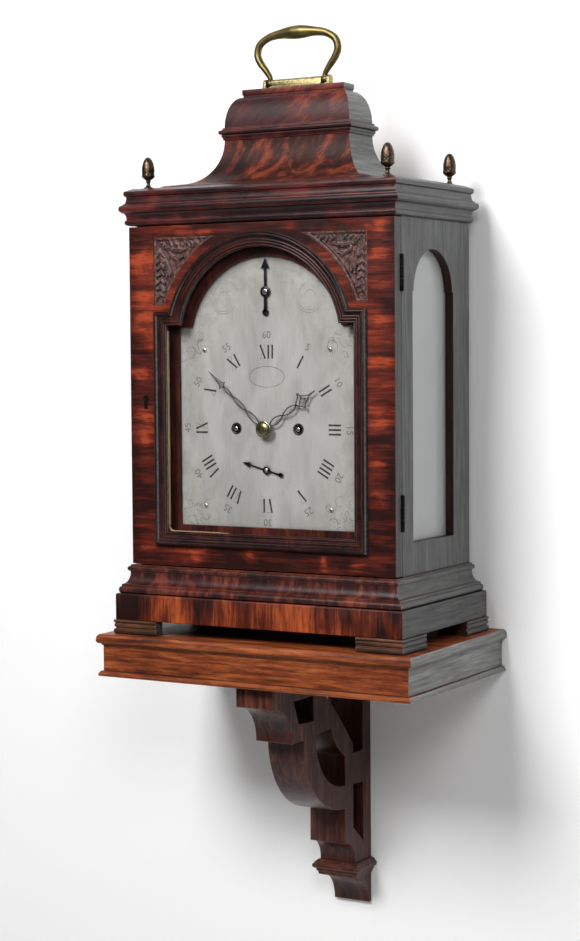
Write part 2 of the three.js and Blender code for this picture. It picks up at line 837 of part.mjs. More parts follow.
/** Pineapple finial: turned foot, neck and cup, then a waisted fruit. */
function finial(sideX, sideY) {
  const r = FINIAL_RADIUS;
  const h = FINIAL_HEIGHT;
  const profile = [
    [0, 0],
    [0.68 * r, 0],
    [0.68 * r, 0.05 * h],
    [0.34 * r, 0.09 * h],
    [0.26 * r, 0.17 * h],
    [0.4 * r, 0.22 * h],
    [0.3 * r, 0.26 * h],
    [0.8 * r, 0.34 * h],
    [0.98 * r, 0.42 * h],
    [r, 0.54 * h],
    [0.86 * r, 0.69 * h],
    [0.58 * r, 0.84 * h],
    [0.2 * r, 0.95 * h],
    [0, h],
  ];
  const x = sideX * (caseHalf - FINIAL_INSET);
  const y = sideY < 0 ? doorFace + FINIAL_INSET : caseBack - FINIAL_INSET;
  return tidy(turned(profile, x, y, corniceTop + GLUE, 12));
}

const eyeInner = HANDLE_EYE_AT - HANDLE_EYE_WIDTH / 2;
const eyeOuter = HANDLE_EYE_AT + HANDLE_EYE_WIDTH / 2;

/** Plate, round-topped middle bar, end knuckles and the two pins that the handle turns on. */
function handlePlate() {
  const base = capTop + GLUE;
  const top = base + HANDLE_PLATE_THICKNESS;
  const foot = block(
    -HANDLE_PLATE_HALF,
    HANDLE_PLATE_HALF,
    caseMiddle - HANDLE_PLATE_HALF_Y,
    caseMiddle + HANDLE_PLATE_HALF_Y,
    base,
    top,
  );
  const knuckle = (x0, x1, radius) => [
    bar("x", radius, [caseMiddle, handlePivot], x0, x1, 14),
    block(x0, x1, caseMiddle - radius, caseMiddle + radius, base + 0.5, handlePivot),
  ];
  const middle = knuckle(-eyeInner + FIT, eyeInner - FIT, HANDLE_EYE_RADIUS - 0.3);
  const right = knuckle(eyeOuter + FIT, HANDLE_PLATE_HALF, HANDLE_EYE_RADIUS + 0.2);
  const left = knuckle(-HANDLE_PLATE_HALF, -eyeOuter - FIT, HANDLE_EYE_RADIUS + 0.2);
  const pin = (x0, x1) => bar("x", HANDLE_PIN_RADIUS, [caseMiddle, handlePivot], x0, x1, 10);
  const pins = [pin(eyeInner - 1, eyeOuter + 1), pin(-eyeOuter - 1, -eyeInner + 1)];
  const whole = join(foot, ...middle, ...right, ...left, ...pins);
  const room = (x0, x1) =>
    block(x0, x1, caseMiddle - 6, caseMiddle + 6, base + 0.7, handlePivot - HANDLE_PIN_RADIUS);
  const slots = [room(eyeInner - FIT, eyeOuter + FIT), room(-eyeOuter - FIT, -eyeInner + FIT)];
  return cut(whole, ...slots);
}

/** Bail with straight ankles, full shoulders and a grip that swells in the middle. */
function carryingHandle() {
  const w = HANDLE_HALF_WIDTH;
  const h = HANDLE_HEIGHT;
  const half = [
    [HANDLE_EYE_AT, 1.2, 2.2],
    [HANDLE_EYE_AT, 5, 2.3],
    [0.78 * w, 0.25 * h, 2.7],
    [0.94 * w, 0.45 * h, HANDLE_ROD],
    [w, 0.62 * h, HANDLE_ROD],
    [0.93 * w, 0.81 * h, HANDLE_ROD],
    [0.7 * w, 0.94 * h, HANDLE_ROD + 0.1],
    [0.4 * w, 0.99 * h, 0.72 * HANDLE_GRIP],
    [0.16 * w, h, 0.95 * HANDLE_GRIP],
  ];
  const knots = [...half, [0, h, HANDLE_GRIP], ...half.map(([x, z, r]) => [-x, z, r]).reverse()];
  const route = new THREE.CatmullRomCurve3(knots.map(([x, z]) => new THREE.Vector3(x, 0, z)));
  const swell = new THREE.CatmullRomCurve3(knots.map(([, , r], i) => new THREE.Vector3(i, r, 0)));
  const steps = 28;
  const sides = 10;
  const rings = [];
  for (let i = 0; i <= steps; i += 1) {
    const t = i / steps;
    const centre = route.getPoint(t);
    const ahead = route.getTangent(t);
    const across = new THREE.Vector3(-ahead.z, 0, ahead.x);
    const radius = swell.getPoint(t).y;
    const ring = [];
    for (let k = 0; k < sides; k += 1) {
      const angle = (2 * Math.PI * k) / sides;
      const point = centre.clone().addScaledVector(across, radius * Math.cos(angle));
      point.y += radius * Math.sin(angle);
      ring.push(point);
    }
    rings.push(ring);
  }
  const bail = loft(rings).translate(0, caseMiddle, handlePivot);
  const eye = (x0, x1, r, n) => bar("x", r, [caseMiddle, handlePivot], x0, x1, n);
  const eyes = [
    eye(eyeInner, eyeOuter, HANDLE_EYE_RADIUS - 0.4, 12),
    eye(-eyeOuter, -eyeInner, HANDLE_EYE_RADIUS - 0.4, 12),
  ];
  const bore = HANDLE_PIN_RADIUS + RUN + 0.05;
  return cut(
    join(bail, ...eyes),
    eye(eyeInner - 3, eyeOuter + 3, bore, 12),
    eye(-eyeOuter - 3, -eyeInner + 3, bore, 12),
  );
}

// ---------- front door ----------

const doorBottom = caseBottom + DOOR_GAP;
const doorTop = caseTop - DOOR_GAP;

/** Outline of the right-hand spandrel panel between arch, stile and top rail. */
function spandrelShape(side, grow) {
  const arcZ = sight.arcZ;
  const top = caseBottom + SPANDREL_TOP + grow;
  const low = caseBottom + SPANDREL_BOTTOM - grow;
  const outer = SPANDREL_OUTER + grow;
  const radius = SPANDREL_RADIUS - grow;
  const from = Math.asin((low - arcZ) / radius);
  const to = Math.asin((top - arcZ) / radius);
  const points = [new THREE.Vector2(side * outer, low), new THREE.Vector2(side * outer, top)];
  const steps = 10;
  for (let i = steps; i >= 0; i -= 1) {
    const angle = from + ((to - from) * i) / steps;
    points.push(new THREE.Vector2(side * radius * Math.cos(angle), arcZ + radius * Math.sin(angle)));
  }
  return new THREE.Shape(points);
}

const lockOuter = -caseHalf + LOCK_MARGIN;
const lockInner = -SIGHT_HALF - GLASS_REBATE - LOCK_CLEAR;
const lockX = (lockOuter + lockInner) / 2;
const lockZ = caseBottom + LOCK_UP;

function doorFrame() {
  const slab = block(-caseHalf, caseHalf, doorFace, doorBack, doorBottom, doorTop);
  const pocketBack = doorFace + SPANDREL_SINK + SPANDREL_THICKNESS + GLUE;
  const lockFront = doorBack - LOCK_DEPTH - FIT;
  const keyZ = lockZ + KEYHOLE_UP;
  const slot = KEYHOLE_SLOT / 2;
  return cut(
    slab,
    archPlate(sight, 0, doorFace - 1, doorBack + 1),
    archPlate(sight, GLASS_REBATE, doorFace + DOOR_GLASS_BACK, doorBack + 1),
    plate(spandrelShape(1, 0), doorFace - 1, pocketBack),
    plate(spandrelShape(-1, 0), doorFace - 1, pocketBack),
    ...hingeLevels.flatMap((z) => hingeSeat(z, doorBack - HINGE_LEAF - FIT, doorBack + 1)),
    block(
      lockOuter - FIT,
      lockInner + FIT,
      lockFront,
      doorBack + 1,
      lockZ - LOCK_HEIGHT / 2 - FIT,
      lockZ + LOCK_HEIGHT / 2 + FIT,
    ),
    bar("y", KEYHOLE_RADIUS, [lockX, keyZ], doorFace - 1, lockFront + 1, 10),
    block(lockX - slot, lockX + slot, doorFace - 1, lockFront + 1, keyZ - KEYHOLE_DROP, keyZ),
  );
}

/** Sight moulding: three reeds at the opening, a hollow, and a raised bead outside. */
function doorMoulding() {
  const m = SIGHT_MOULDING;
  const profile = [
    [0.1, GLUE],
    [0.1, 0.9],
    [0.12 * m, 1.9],
    [0.2 * m, 1.3],
    [0.3 * m, 2.5],
    [0.38 * m, 1.9],
    [0.52 * m, 2.3],
    [0.66 * m, 3.2],
    [0.76 * m, 4.7],
    [0.86 * m, 5],
    [0.95 * m, 4.4],
    [m, 3],
    [m, GLUE],
  ];
  const ring = ([grow, proud]) =>
    archOutline(sight, grow).map((p) => new THREE.Vector3(p.x, doorFace - proud, p.y));
  return loft(profile.map(ring), true);
}

function spandrel(side) {
  const front = doorFace + SPANDREL_SINK;
  return tidy(plate(spandrelShape(side, -FIT), front, front + SPANDREL_THICKNESS));
}

function doorGlass() {
  const front = doorFace + DOOR_GLASS_BACK + GLUE;
  return tidy(archPlate(sight, GLASS_REBATE - FIT, front, front + GLASS));
}

function doorLock() {
  return block(
    lockOuter,
    lockInner,
    doorBack - LOCK_DEPTH,
    doorBack - GLUE,
    lockZ - LOCK_HEIGHT / 2,
    lockZ + LOCK_HEIGHT / 2,
  );
}

const knuckleLength = (HINGE_LENGTH - 2 * FIT) / 3;

/** Door leaf of a butt hinge, with the two outer knuckles bored for the pin. */
function doorLeaf(middle) {
  const low = middle - HINGE_LENGTH / 2;
  const high = middle + HINGE_LENGTH / 2;
  const leaf = block(
    caseHalf - HINGE_LEAF_WIDTH,
    hingeX,
    doorBack - HINGE_LEAF,
    doorBack - GLUE,
    low,
    high,
  );
  const knuckle = (z0, z1) => bar("z", HINGE_KNUCKLE, [hingeX, hingeY], z0, z1, 10);
  const room = HINGE_KNUCKLE + FIT;
  return cut(
    join(leaf, knuckle(low, low + knuckleLength), knuckle(high - knuckleLength, high)),
    bar("z", room, [hingeX, hingeY], low + knuckleLength, high - knuckleLength, 10),
    bar("z", HINGE_PIN + RUN, [hingeX, hingeY], low - 1, high + 1),
  );
}

/** Case leaf of a butt hinge, with the middle knuckle and the pin. */
function caseLeaf(middle) {
  const low = middle - HINGE_LENGTH / 2;
  const high = middle + HINGE_LENGTH / 2;
  const leaf = block(
    caseHalf - HINGE_LEAF_WIDTH,
    hingeX,
    caseFront + GLUE,
    caseFront + HINGE_LEAF,
    low,
    high,
  );
  const room = (z0, z1) => bar("z", HINGE_KNUCKLE + FIT, [hingeX, hingeY], z0, z1, 10);
  const bare = cut(
    leaf,
    room(low - 1, low + knuckleLength + FIT),
    room(high - knuckleLength - FIT, high + 1),
  );
  const lowest = low + knuckleLength + FIT;
  const highest = high - knuckleLength - FIT;
  return join(
    bare,
    bar("z", HINGE_KNUCKLE, [hingeX, hingeY], lowest, highest, 10),
    bar("z", HINGE_PIN, [hingeX, hingeY], low, high),
  );
}

// ---------- rear door ----------

const rearHalf = insideHalf - FIT;
const rearFront = caseBack - REAR_DOOR_THICKNESS;
const rearLow = floorTop + FIT;
const rearHigh = ceiling - FIT;

/** Outline of the rear glass, grown evenly; the bottom rail is narrower than the stiles. */
function rearOpening(grow, front, back) {
  const side = rearHalf - REAR_STILE + grow;
  const low = rearLow + REAR_RAIL - grow;
  const high = rearHigh - REAR_STILE + grow;
  return block(-side, side, front, back, low, high);
}

/** Rear door frame; its hanging stile is rounded about the pivots that turn in floor and top. */
function rearDoorFrame() {
  const rebateBack = caseBack - REAR_GLASS_BACK;
  const slab = block(pivotX, rearHalf, rearFront, caseBack, rearLow, rearHigh);
  const pivot = (z0, z1) => bar("z", REAR_PIVOT_RADIUS, [pivotX, pivotY], z0, z1);
  const frame = cut(
    join(slab, bar("z", REAR_DOOR_THICKNESS / 2, [pivotX, pivotY], rearLow, rearHigh, 16)),
    rearOpening(0, rearFront - 1, caseBack + 1),
    rearOpening(GLASS_REBATE, rearFront - 1, rebateBack),
  );
  return join(
    frame,
    pivot(floorTop - REAR_PIVOT_LENGTH, rearLow + 1),
    pivot(rearHigh - 1, ceiling + REAR_PIVOT_LENGTH),
  );
}

function rearDoorGlass() {
  const back = caseBack - REAR_GLASS_BACK - GLUE;
  return rearOpening(GLASS_REBATE - FIT, back - GLASS, back);
}

// ---------- dial ----------

function dialMask() {
  const half = insideHalf - FIT;
  const board = block(
    -half,
    half,
    maskFront,
    maskFront + MASK_THICKNESS,
    floorTop + FIT,
    ceiling - FIT,
  );
  return cut(board, archPlate(maskArch, 0, maskFront - 1, maskFront + MASK_THICKNESS + 1));
}

function dialPlate() {
  const leaf = archPlate(maskArch, DIAL_LAP, dialFace, dialBack);
  const foot = (x, z) => bar("y", DIAL_FOOT_RADIUS, [x, dialZ + z], dialBack - 1, frontPlate - GLUE, 8);
  const feet = [-DIAL_FOOT_X, DIAL_FOOT_X].flatMap((x) => [
    foot(x, -DIAL_FOOT_Z),
    foot(x, DIAL_FOOT_Z),
  ]);
  const hole = (radius, x, z, sides) => bar("y", radius, [x, z], dialFace - 1, dialBack + 1, sides);
  return cut(
    join(leaf, ...feet),
    hole(HOUR_PIPE + 2 * RUN, 0, dialZ, 16),
    hole(WINDING_HOLE, FUSEE_AT, dialZ, 16),
    hole(WINDING_HOLE, -FUSEE_AT, dialZ, 16),
    hole(SMALL_ARBOR + RUN, 0, dialZ + STRIKE_HAND_UP, 10),
    hole(SMALL_ARBOR + RUN, 0, dialZ - DATE_HAND_DOWN, 10),
  );
}

// ---------- hands ----------

const handPlane = dialFace - 3.4; // back of the hour hand
const minutePlane = handPlane - HAND_THICKNESS - 1.1; // back of the minute hand

/** Symmetrical outline from half-widths up the hand, with pierced loops. */
function handShape(half, loops) {
  const right = half.map(([w, h]) => new THREE.Vector2(w, h));
  const left = half.map(([w, h]) => new THREE.Vector2(-w, h)).reverse();
  const shape = new THREE.Shape([...right, ...left.filter((p) => p.x !== 0)]);
  for (const [low, high, width] of loops) {
    const loop = new THREE.Path();
    const middle = (low + high) / 2;
    loop.moveTo(0, low);
    loop.quadraticCurveTo(width, low + (middle - low) * 0.5, width, middle);
    loop.quadraticCurveTo(width, high - (high - middle) * 0.5, 0, high);
    loop.quadraticCurveTo(-width, high - (high - middle) * 0.5, -width, middle);
    loop.quadraticCurveTo(-width, low + (middle - low) * 0.5, 0, low);
    shape.holes.push(loop);
  }
  return shape;
}

/** Turns a part drawn at twelve o'clock round the fore-and-aft axis through (0, z). */
function clockwise(geometry, degrees, z) {
  geometry.translate(0, 0, -z);
  geometry.rotateY((degrees * Math.PI) / 180);
  return geometry.translate(0, 0, z);
}

function hourHand() {
  const l = HOUR_LENGTH;
  const half = [
    [0.9, 2],
    [1.1, 0.1 * l],
    [2.9, 0.18 * l],
    [3.5, 0.26 * l],
    [2.6, 0.37 * l],
    [1, 0.46 * l],
    [3, 0.53 * l],
    [4.6, 0.58 * l],
    [8.4, 0.6 * l],
    [8.4, 0.635 * l],
    [4.2, 0.67 * l],
    [1.4, 0.74 * l],
    [1.1, 0.86 * l],
    [0, l],
  ];
  const loops = [
    [0.14 * l, 0.43 * l, 2.3],
    [0.5 * l, 0.7 * l, 3],
  ];
  const shape = handShape(half, loops);
  const blade = plate(shape, handPlane - HAND_THICKNESS, handPlane, 3).translate(0, 0, dialZ);
  const pipe = bar("y", HOUR_PIPE, [0, dialZ], handPlane - HAND_THICKNESS, frontPlate - FIT, 12);
  const boss = bar("y", 5.4, [0, dialZ], handPlane - HAND_THICKNESS, handPlane, 14);
  const bore = bar("y", MINUTE_PIPE + RUN + 0.1, [0, dialZ], handPlane - 3, frontPlate + 1, 12);
  return clockwise(cut(join(blade, pipe, boss), bore), HOUR_ANGLE, dialZ);
}

function minuteHand() {
  const l = MINUTE_LENGTH;
  const half = [
    [0.9, 2],
    [1, 0.08 * l],
    [2.4, 0.15 * l],
    [2.6, 0.21 * l],
    [1.7, 0.31 * l],
    [0.8, 0.38 * l],
    [1.7, 0.45 * l],
    [1.9, 0.52 * l],
    [0.9, 0.65 * l],
    [0.8, 0.69 * l],
    [2.6, 0.7 * l],
    [2.6, 0.715 * l],
    [0.9, 0.74 * l],
    [0, l],
  ];
  const loops = [
    [0.1 * l, 0.36 * l, 1.5],
    [0.4 * l, 0.63 * l, 1],
  ];
  const blade = plate(handShape(half, loops), minutePlane - HAND_THICKNESS, minutePlane, 3);
  blade.translate(0, 0, dialZ);
  const boss = bar("y", 5, [0, dialZ], minutePlane - HAND_THICKNESS, minutePlane, 14);
  const pipe = bar("y", MINUTE_PIPE, [0, dialZ], minutePlane - HAND_THICKNESS, frontPlate - FIT, 12);
  const bore = bar("y", CENTRE_ARBOR + RUN, [0, dialZ], minutePlane - 3, frontPlate + 1, 10);
  return clockwise(cut(join(blade, boss, pipe), bore), MINUTE_ANGLE, dialZ);
}

/** Domed brass collet in front of the minute hand, on the end of the centre arbor. */
function handCollet() {
  const back = minutePlane - HAND_THICKNESS - GLUE;
  const dome = turnedAcross(
    [
      [0, back],
      [5.8, back],
      [5.8, back - 0.7],
      [5, back - 1.1],
      [4.2, back - 1.2],
      [2.6, back - 2],
      [0, back - 2.3],
    ],
    0,
    dialZ,
    14,
  );
  return cut(dome, bar("y", CENTRE_ARBOR + RUN, [0, dialZ], back - 0.9, back + 1, 12));
}

/** Small steel hand with its arbor through the dial: arrow head, tail and round counterweight. */
function smallHand(length, tail, tailRadius, z, degrees) {
  const half = [
    [1.3, -tail],
    [0.8, -tail + tailRadius],
    [0.8, -2],
    [2.6, -1],
    [2.6, 1],
    [0.8, 2],
    [0.8, 0.68 * length],
    [2.4, 0.64 * length],
    [2.6, 0.7 * length],
    [0, length],
  ];
  const front = dialFace - 1.6;
  const blade = plate(handShape(half, []), front, front + 0.8, 4).translate(0, 0, z);
  const weight = bar("y", tailRadius, [0, z - tail], front, front + 0.8, 8);
  const hub = bar("y", 3, [0, z], front - 0.6, front + 0.9, 10);
  const arbor = bar("y", SMALL_ARBOR, [0, z], front, dialBack + 3, 8);
  const washer = bar("y", 2.4, [0, z], dialBack + FIT, dialBack + 3);
  return clockwise(join(blade, weight, hub, arbor, washer), degrees, z);
}

// ---------- movement ----------

const plateOutline = () =>
  new THREE.Shape([
    new THREE.Vector2(-PLATE_HALF, floorTop + FIT),
    new THREE.Vector2(PLATE_HALF, floorTop + FIT),
    new THREE.Vector2(PLATE_HALF, plateTop),
    new THREE.Vector2(-PLATE_HALF, plateTop),
  ]);

const pillarPlaces = [-1, 1].flatMap((sx) => [
  [sx * (PLATE_HALF - PILLAR_IN), floorTop + FIT + PILLAR_IN],
  [sx * (PLATE_HALF - PILLAR_IN), plateTop - PILLAR_IN],
]);

const thirdZ = dialZ + THIRD_UP;
const escapeZ = dialZ + ESCAPE_UP;
const palletZ = dialZ + PALLETS_UP;
const barrelZ = dialZ - BARREL_DOWN;
const hammerZ = dialZ + HAMMER_UP;

function pivotHoles(front, back) {
  const hole = (radius, x, z) => bar("y", radius, [x, z], front - 1, back + 1, radius < 2 ? 6 : 10);
  return [
    hole(PIVOT_RADIUS + RUN, 0, thirdZ),
    hole(PIVOT_RADIUS + RUN, 0, escapeZ),
    hole(PIVOT_RADIUS + RUN, HAMMER_X, hammerZ),
    hole(HEAVY_ARBOR + RUN, FUSEE_AT, dialZ),
    hole(HEAVY_ARBOR + RUN, -FUSEE_AT, dialZ),
    hole(HEAVY_ARBOR + RUN, BARREL_AT, barrelZ),
    hole(HEAVY_ARBOR + RUN, -BARREL_AT, barrelZ),
  ];
}

function movementFrontPlate() {
  const front = frontPlate;
  const back = frontPlate + PLATE_THICKNESS;
  return cut(
    plate(plateOutline(), front, back),
    ...pivotHoles(front, back),
    bar("y", ARBOR_RADIUS + RUN, [0, dialZ], front - 1, back + 1, 12),
    bar("y", PIVOT_RADIUS + RUN, [0, palletZ], front - 1, back + 1, 10),
    ...pillarPlaces.map((at) => bar("y", 2 + RUN, at, front - 1, back + 1)),
  );
}

const cockFront = platesRear + 5.5;
const cockBack = cockFront + 2;
const pendulumFront = cockBack + 1;
const pendulumBack = pendulumFront + 3.5;
const bellMouth = plateTop + BELL_CLEAR;
const bellCrown = bellMouth + BELL_HEIGHT;
const bellY = (frontPlate + platesRear) / 2;

/** Back plate with its riveted pillars, the pendulum cock and the bell's stand. */
function movementBackPlate() {
  const base = plate(plateOutline(), backPlate, platesRear);
  const pillars = pillarPlaces.flatMap((at) => [
    bar("y", PILLAR_RADIUS, at, trainFront + GLUE, backPlate + 1),
    bar("y", 2, at, frontPlate - 1.5, trainFront + 1),
  ]);
  const leg = (x0, x1) => block(x0, x1, platesRear - 1, cockBack, palletZ - 4, palletZ + 4);
  const cock = [
    leg(-15, -11),
    leg(11, 15),
    block(-15, 15, cockFront, cockBack, palletZ - 4, palletZ + 6),
    bar("y", 1.4, [0, palletZ], cockBack - 0.5, pendulumBack + 2, 10),
    bar("y", 2.4, [0, palletZ], pendulumBack + 0.8, pendulumBack + 2, 10),
  ];
  const stand = [
    block(-4, 4, bellY - 3, platesRear, plateTop - 1, plateTop + 3),
    bar("z", 2.5, [0, bellY], plateTop + 1, bellCrown - BELL_WALL - FIT, 10),
  ];
  return cut(
    join(base, ...pillars, ...cock, ...stand),
    ...pivotHoles(backPlate, platesRear),
    bar("y", PIVOT_RADIUS + RUN, [0, dialZ], backPlate - 1, platesRear + 1, 10),
    bar("y", 4, [0, palletZ], backPlate - 1, platesRear + 0.5, 12),
    bar("y", PIVOT_RADIUS + RUN, [0, palletZ], cockFront - 1, cockFront + 1.5, 10),
  );
}

/** Toothed disc in x and z with V gaps; the first tooth points at the start angle. */
function toothed(teeth, pitchRadius, rise, depth, start, holes = []) {
  const points = [];
  const pitch = (2 * Math.PI) / teeth;
  const tip = pitchRadius + rise;
  for (let i = 0; i < teeth; i += 1) {
    for (const [radius, turn] of [
      [tip, 0],
      [tip - depth, 0.5],
    ]) {
      const angle = start + (i + turn) * pitch;
      points.push(new THREE.Vector2(radius * Math.cos(angle), radius * Math.sin(angle)));
    }
  }
  const shape = new THREE.Shape(points);
  shape.holes.push(...holes);
  return shape;
}

/** Four crossings cut out of a wheel between hub and rim. */
function crossings(hub, rim, armHalf) {
  return [0, 1, 2, 3].map((quarterTurn) => {
    const base = (quarterTurn * Math.PI) / 2;
    const inset = (radius) => Math.asin(armHalf / radius);
    const path = new THREE.Path();
    path.absarc(0, 0, rim, base + inset(rim), base + Math.PI / 2 - inset(rim), false);
    path.absarc(0, 0, hub, base + Math.PI / 2 - inset(hub), base + inset(hub), true);
    path.closePath();
    return path;
  });
}

/** Pinion: few leaves with parallel-sided tops and round-bottomed gaps as short flats. */
function pinionShape(pitchRadius, start) {
  const points = [];
  const pitch = (2 * Math.PI) / PINION_LEAVES;
  for (let i = 0; i < PINION_LEAVES; i += 1) {
    const middle = start + i * pitch;
    for (const [radius, turn] of [
      [0.62 * pitchRadius, -0.2],
      [1.26 * pitchRadius, -0.07],
      [1.26 * pitchRadius, 0.07],
      [0.62 * pitchRadius, 0.2],
    ]) {
      const angle = middle + turn * pitch;
      points.push(new THREE.Vector2(radius * Math.cos(angle), radius * Math.sin(angle)));
    }
  }
  return new THREE.Shape(points);
}

const disc = (shape, x, z, front, back) => plate(shape, front, back, 1).translate(x, 0, z);

// Pitch radii follow the distances between arbors.
const pitchShare = WHEEL_TEETH / (WHEEL_TEETH + PINION_LEAVES);
const greatPitch = FUSEE_AT * pitchShare;
const centrePinionPitch = FUSEE_AT - greatPitch;
const centrePitch = THIRD_UP * pitchShare;
const thirdPinionPitch = THIRD_UP - centrePitch;
const escapeGap = ESCAPE_UP - THIRD_UP;
const thirdPitch = (escapeGap * THIRD_TEETH) / (THIRD_TEETH + PINION_LEAVES);
const escapePinionPitch = escapeGap - thirdPitch;
const toothRise = (pitchRadius, teeth) => (1.4 * pitchRadius) / teeth;
const toothDepth = (pitchRadius, teeth) => (5.6 * pitchRadius) / teeth;
const PINION_CORE = 0.6; // body of a pinion's arbor, as a share of its pitch radius

// Layers between the plates, back from the front plate's inner face.
const fuseeFront = trainFront + 5;
const strikeWheelFront = fuseeFront + FUSEE_LENGTH - 4;
const greatWheelFront = fuseeFront + FUSEE_LENGTH + 3;
const centreWheelFront = greatWheelFront + 6.5;
const thirdWheelFront = trainFront + 13;
const escapeWheelFront = trainFront + 25;
const barrelFront = fuseeFront;

/** Spring barrel with its lid lip, on an arbor between the plates. */
function barrel(side) {
  const x = side * BARREL_AT;
  const back = barrelFront + BARREL_LENGTH;
  const drum = turnedAcross(
    [
      [0, frontPlate - 3],
      [HEAVY_ARBOR, frontPlate - 3],
      [HEAVY_ARBOR, barrelFront],
      [BARREL_RADIUS - 0.8, barrelFront],
      [BARREL_RADIUS, barrelFront + 0.8],
      [BARREL_RADIUS, back - 2.4],
      [BARREL_RADIUS + 1, back - 2],
      [BARREL_RADIUS + 1, back],
      [HEAVY_ARBOR, back],
      [HEAVY_ARBOR, platesRear],
      [0, platesRear],
    ],
    x,
    barrelZ,
    18,
  );
  return tidy(drum);
}

/** Fusee with its chain groove, great wheel and winding square. */
function fusee(side, wheelFront, wheelPitch, wheelStart) {
  const x = side * FUSEE_AT;
  const coneBack = wheelFront - GLUE;
  const profile = [[0, fuseeFront]];
  for (let i = 0; i < FUSEE_TURNS; i += 1) {
    const t = (i + 0.5) / FUSEE_TURNS;
    const radius = FUSEE_SMALL * FUSEE_LARGE / (FUSEE_LARGE - (FUSEE_LARGE - FUSEE_SMALL) * t);
    const y = fuseeFront + ((coneBack - fuseeFront) * i) / FUSEE_TURNS;
    const next = fuseeFront + ((coneBack - fuseeFront) * (i + 1)) / FUSEE_TURNS;
    profile.push([radius, y + 0.05], [radius - 1, (y + next) / 2]);
  }
  profile.push([FUSEE_LARGE, wheelFront + 0.5], [0, wheelFront + 0.5]);
  const cone = turnedAcross(profile, x, dialZ, 12);
  const wheel = disc(
    toothed(
      WHEEL_TEETH,
      wheelPitch,
      toothRise(wheelPitch, WHEEL_TEETH),
      toothDepth(wheelPitch, WHEEL_TEETH),
      wheelStart,
    ),
    x,
    dialZ,
    wheelFront,
    wheelFront + WHEEL_THICKNESS,
  );
  const arbor = bar("y", HEAVY_ARBOR, [x, dialZ], frontPlate - 1, platesRear, 12);
  const square = WINDING_SQUARE / 2;
  const end = block(x - square, x + square, dialFace - 0.6, frontPlate, dialZ - square, dialZ + square);
  return join(cone, wheel, arbor, end);
}

/** Arbor with a pivot at each end that runs in the plates. */
function platedArbor(x, z, bodyRadius, pivotRadius = PIVOT_RADIUS) {
  return turnedAcross(
    [
      [0, frontPlate + 0.2],
      [pivotRadius, frontPlate + 0.2],
      [pivotRadius, trainFront + FIT],
      [bodyRadius, trainFront + FIT],
      [bodyRadius, backPlate - FIT],
      [pivotRadius, backPlate - FIT],
      [pivotRadius, platesRear - 0.2],
      [0, platesRear - 0.2],
    ],
    x,
    z,
    8,
  );
}

function crossedWheel(teeth, pitchRadius, start, z, front) {
  const rise = toothRise(pitchRadius, teeth);
  const depth = toothDepth(pitchRadius, teeth);
  const rim = pitchRadius + rise - depth - 1.8;
  const shape = toothed(teeth, pitchRadius, rise, depth, start, crossings(4, rim, 1.1));
  return disc(shape, 0, z, front, front + WHEEL_THICKNESS * 0.7);
}

function centreWheel() {
  const pinion = disc(
    pinionShape(centrePinionPitch, 0),
    0,
    dialZ,
    greatWheelFront - 1,
    greatWheelFront + WHEEL_THICKNESS + 1,
  );
  const arbor = turnedAcross(
    [
      [0, minutePlane - HAND_THICKNESS - 0.5],
      [CENTRE_ARBOR, minutePlane - HAND_THICKNESS - 0.5],
      [CENTRE_ARBOR, frontPlate],
      [CENTRE_ARBOR, trainFront],
      [PINION_CORE * centrePinionPitch, trainFront + 1],
      [PINION_CORE * centrePinionPitch, backPlate - FIT],
      [PIVOT_RADIUS, backPlate - FIT],
      [PIVOT_RADIUS, platesRear - 0.2],
      [0, platesRear - 0.2],
    ],
    0,
    dialZ,
    8,
  );
  const start = Math.PI / 2 + Math.PI / WHEEL_TEETH;
  const wheel = crossedWheel(WHEEL_TEETH, centrePitch, start, dialZ, centreWheelFront);
  const collet = bar("y", 4.4, [0, dialZ], centreWheelFront - 1, centreWheelFront + 2, 10);
  return join(arbor, pinion, wheel, collet);
}

function thirdWheel() {
  const pinion = disc(
    pinionShape(thirdPinionPitch, -Math.PI / 2),
    0,
    thirdZ,
    centreWheelFront - 1,
    centreWheelFront + WHEEL_THICKNESS,
  );
  const start = Math.PI / 2 + Math.PI / THIRD_TEETH;
  const wheel = crossedWheel(THIRD_TEETH, thirdPitch, start, thirdZ, thirdWheelFront);
  const hub = bar("y", 4.4, [0, thirdZ], thirdWheelFront - 1, thirdWheelFront + 2.4, 10);
  return join(platedArbor(0, thirdZ, PINION_CORE * thirdPinionPitch), pinion, wheel, hub);
}

function escapeWheel() {
  const pinion = disc(
    pinionShape(escapePinionPitch, -Math.PI / 2),
    0,
    escapeZ,
    thirdWheelFront - 1,
    thirdWheelFront + WHEEL_THICKNESS,
  );
  const points = [];
  for (let i = 0; i < ESCAPE_TEETH; i += 1) {
    const at = (2 * Math.PI * i) / ESCAPE_TEETH;
    const lean = (0.3 * 2 * Math.PI) / ESCAPE_TEETH;
    points.push(new THREE.Vector2(ESCAPE_RADIUS * Math.cos(at), ESCAPE_RADIUS * Math.sin(at)));
    const root = ESCAPE_RADIUS - 2.2;
    points.push(new THREE.Vector2(root * Math.cos(at + lean), root * Math.sin(at + lean)));
  }
  const shape = new THREE.Shape(points);
  shape.holes.push(...crossings(3.4, ESCAPE_RADIUS - 4, 0.9));
  const wheel = disc(shape, 0, escapeZ, escapeWheelFront, escapeWheelFront + 1.2);
  const hub = bar("y", 3.8, [0, escapeZ], escapeWheelFront - 0.8, escapeWheelFront + 2, 10);
  return join(platedArbor(0, escapeZ, PINION_CORE * escapePinionPitch), pinion, wheel, hub);
}

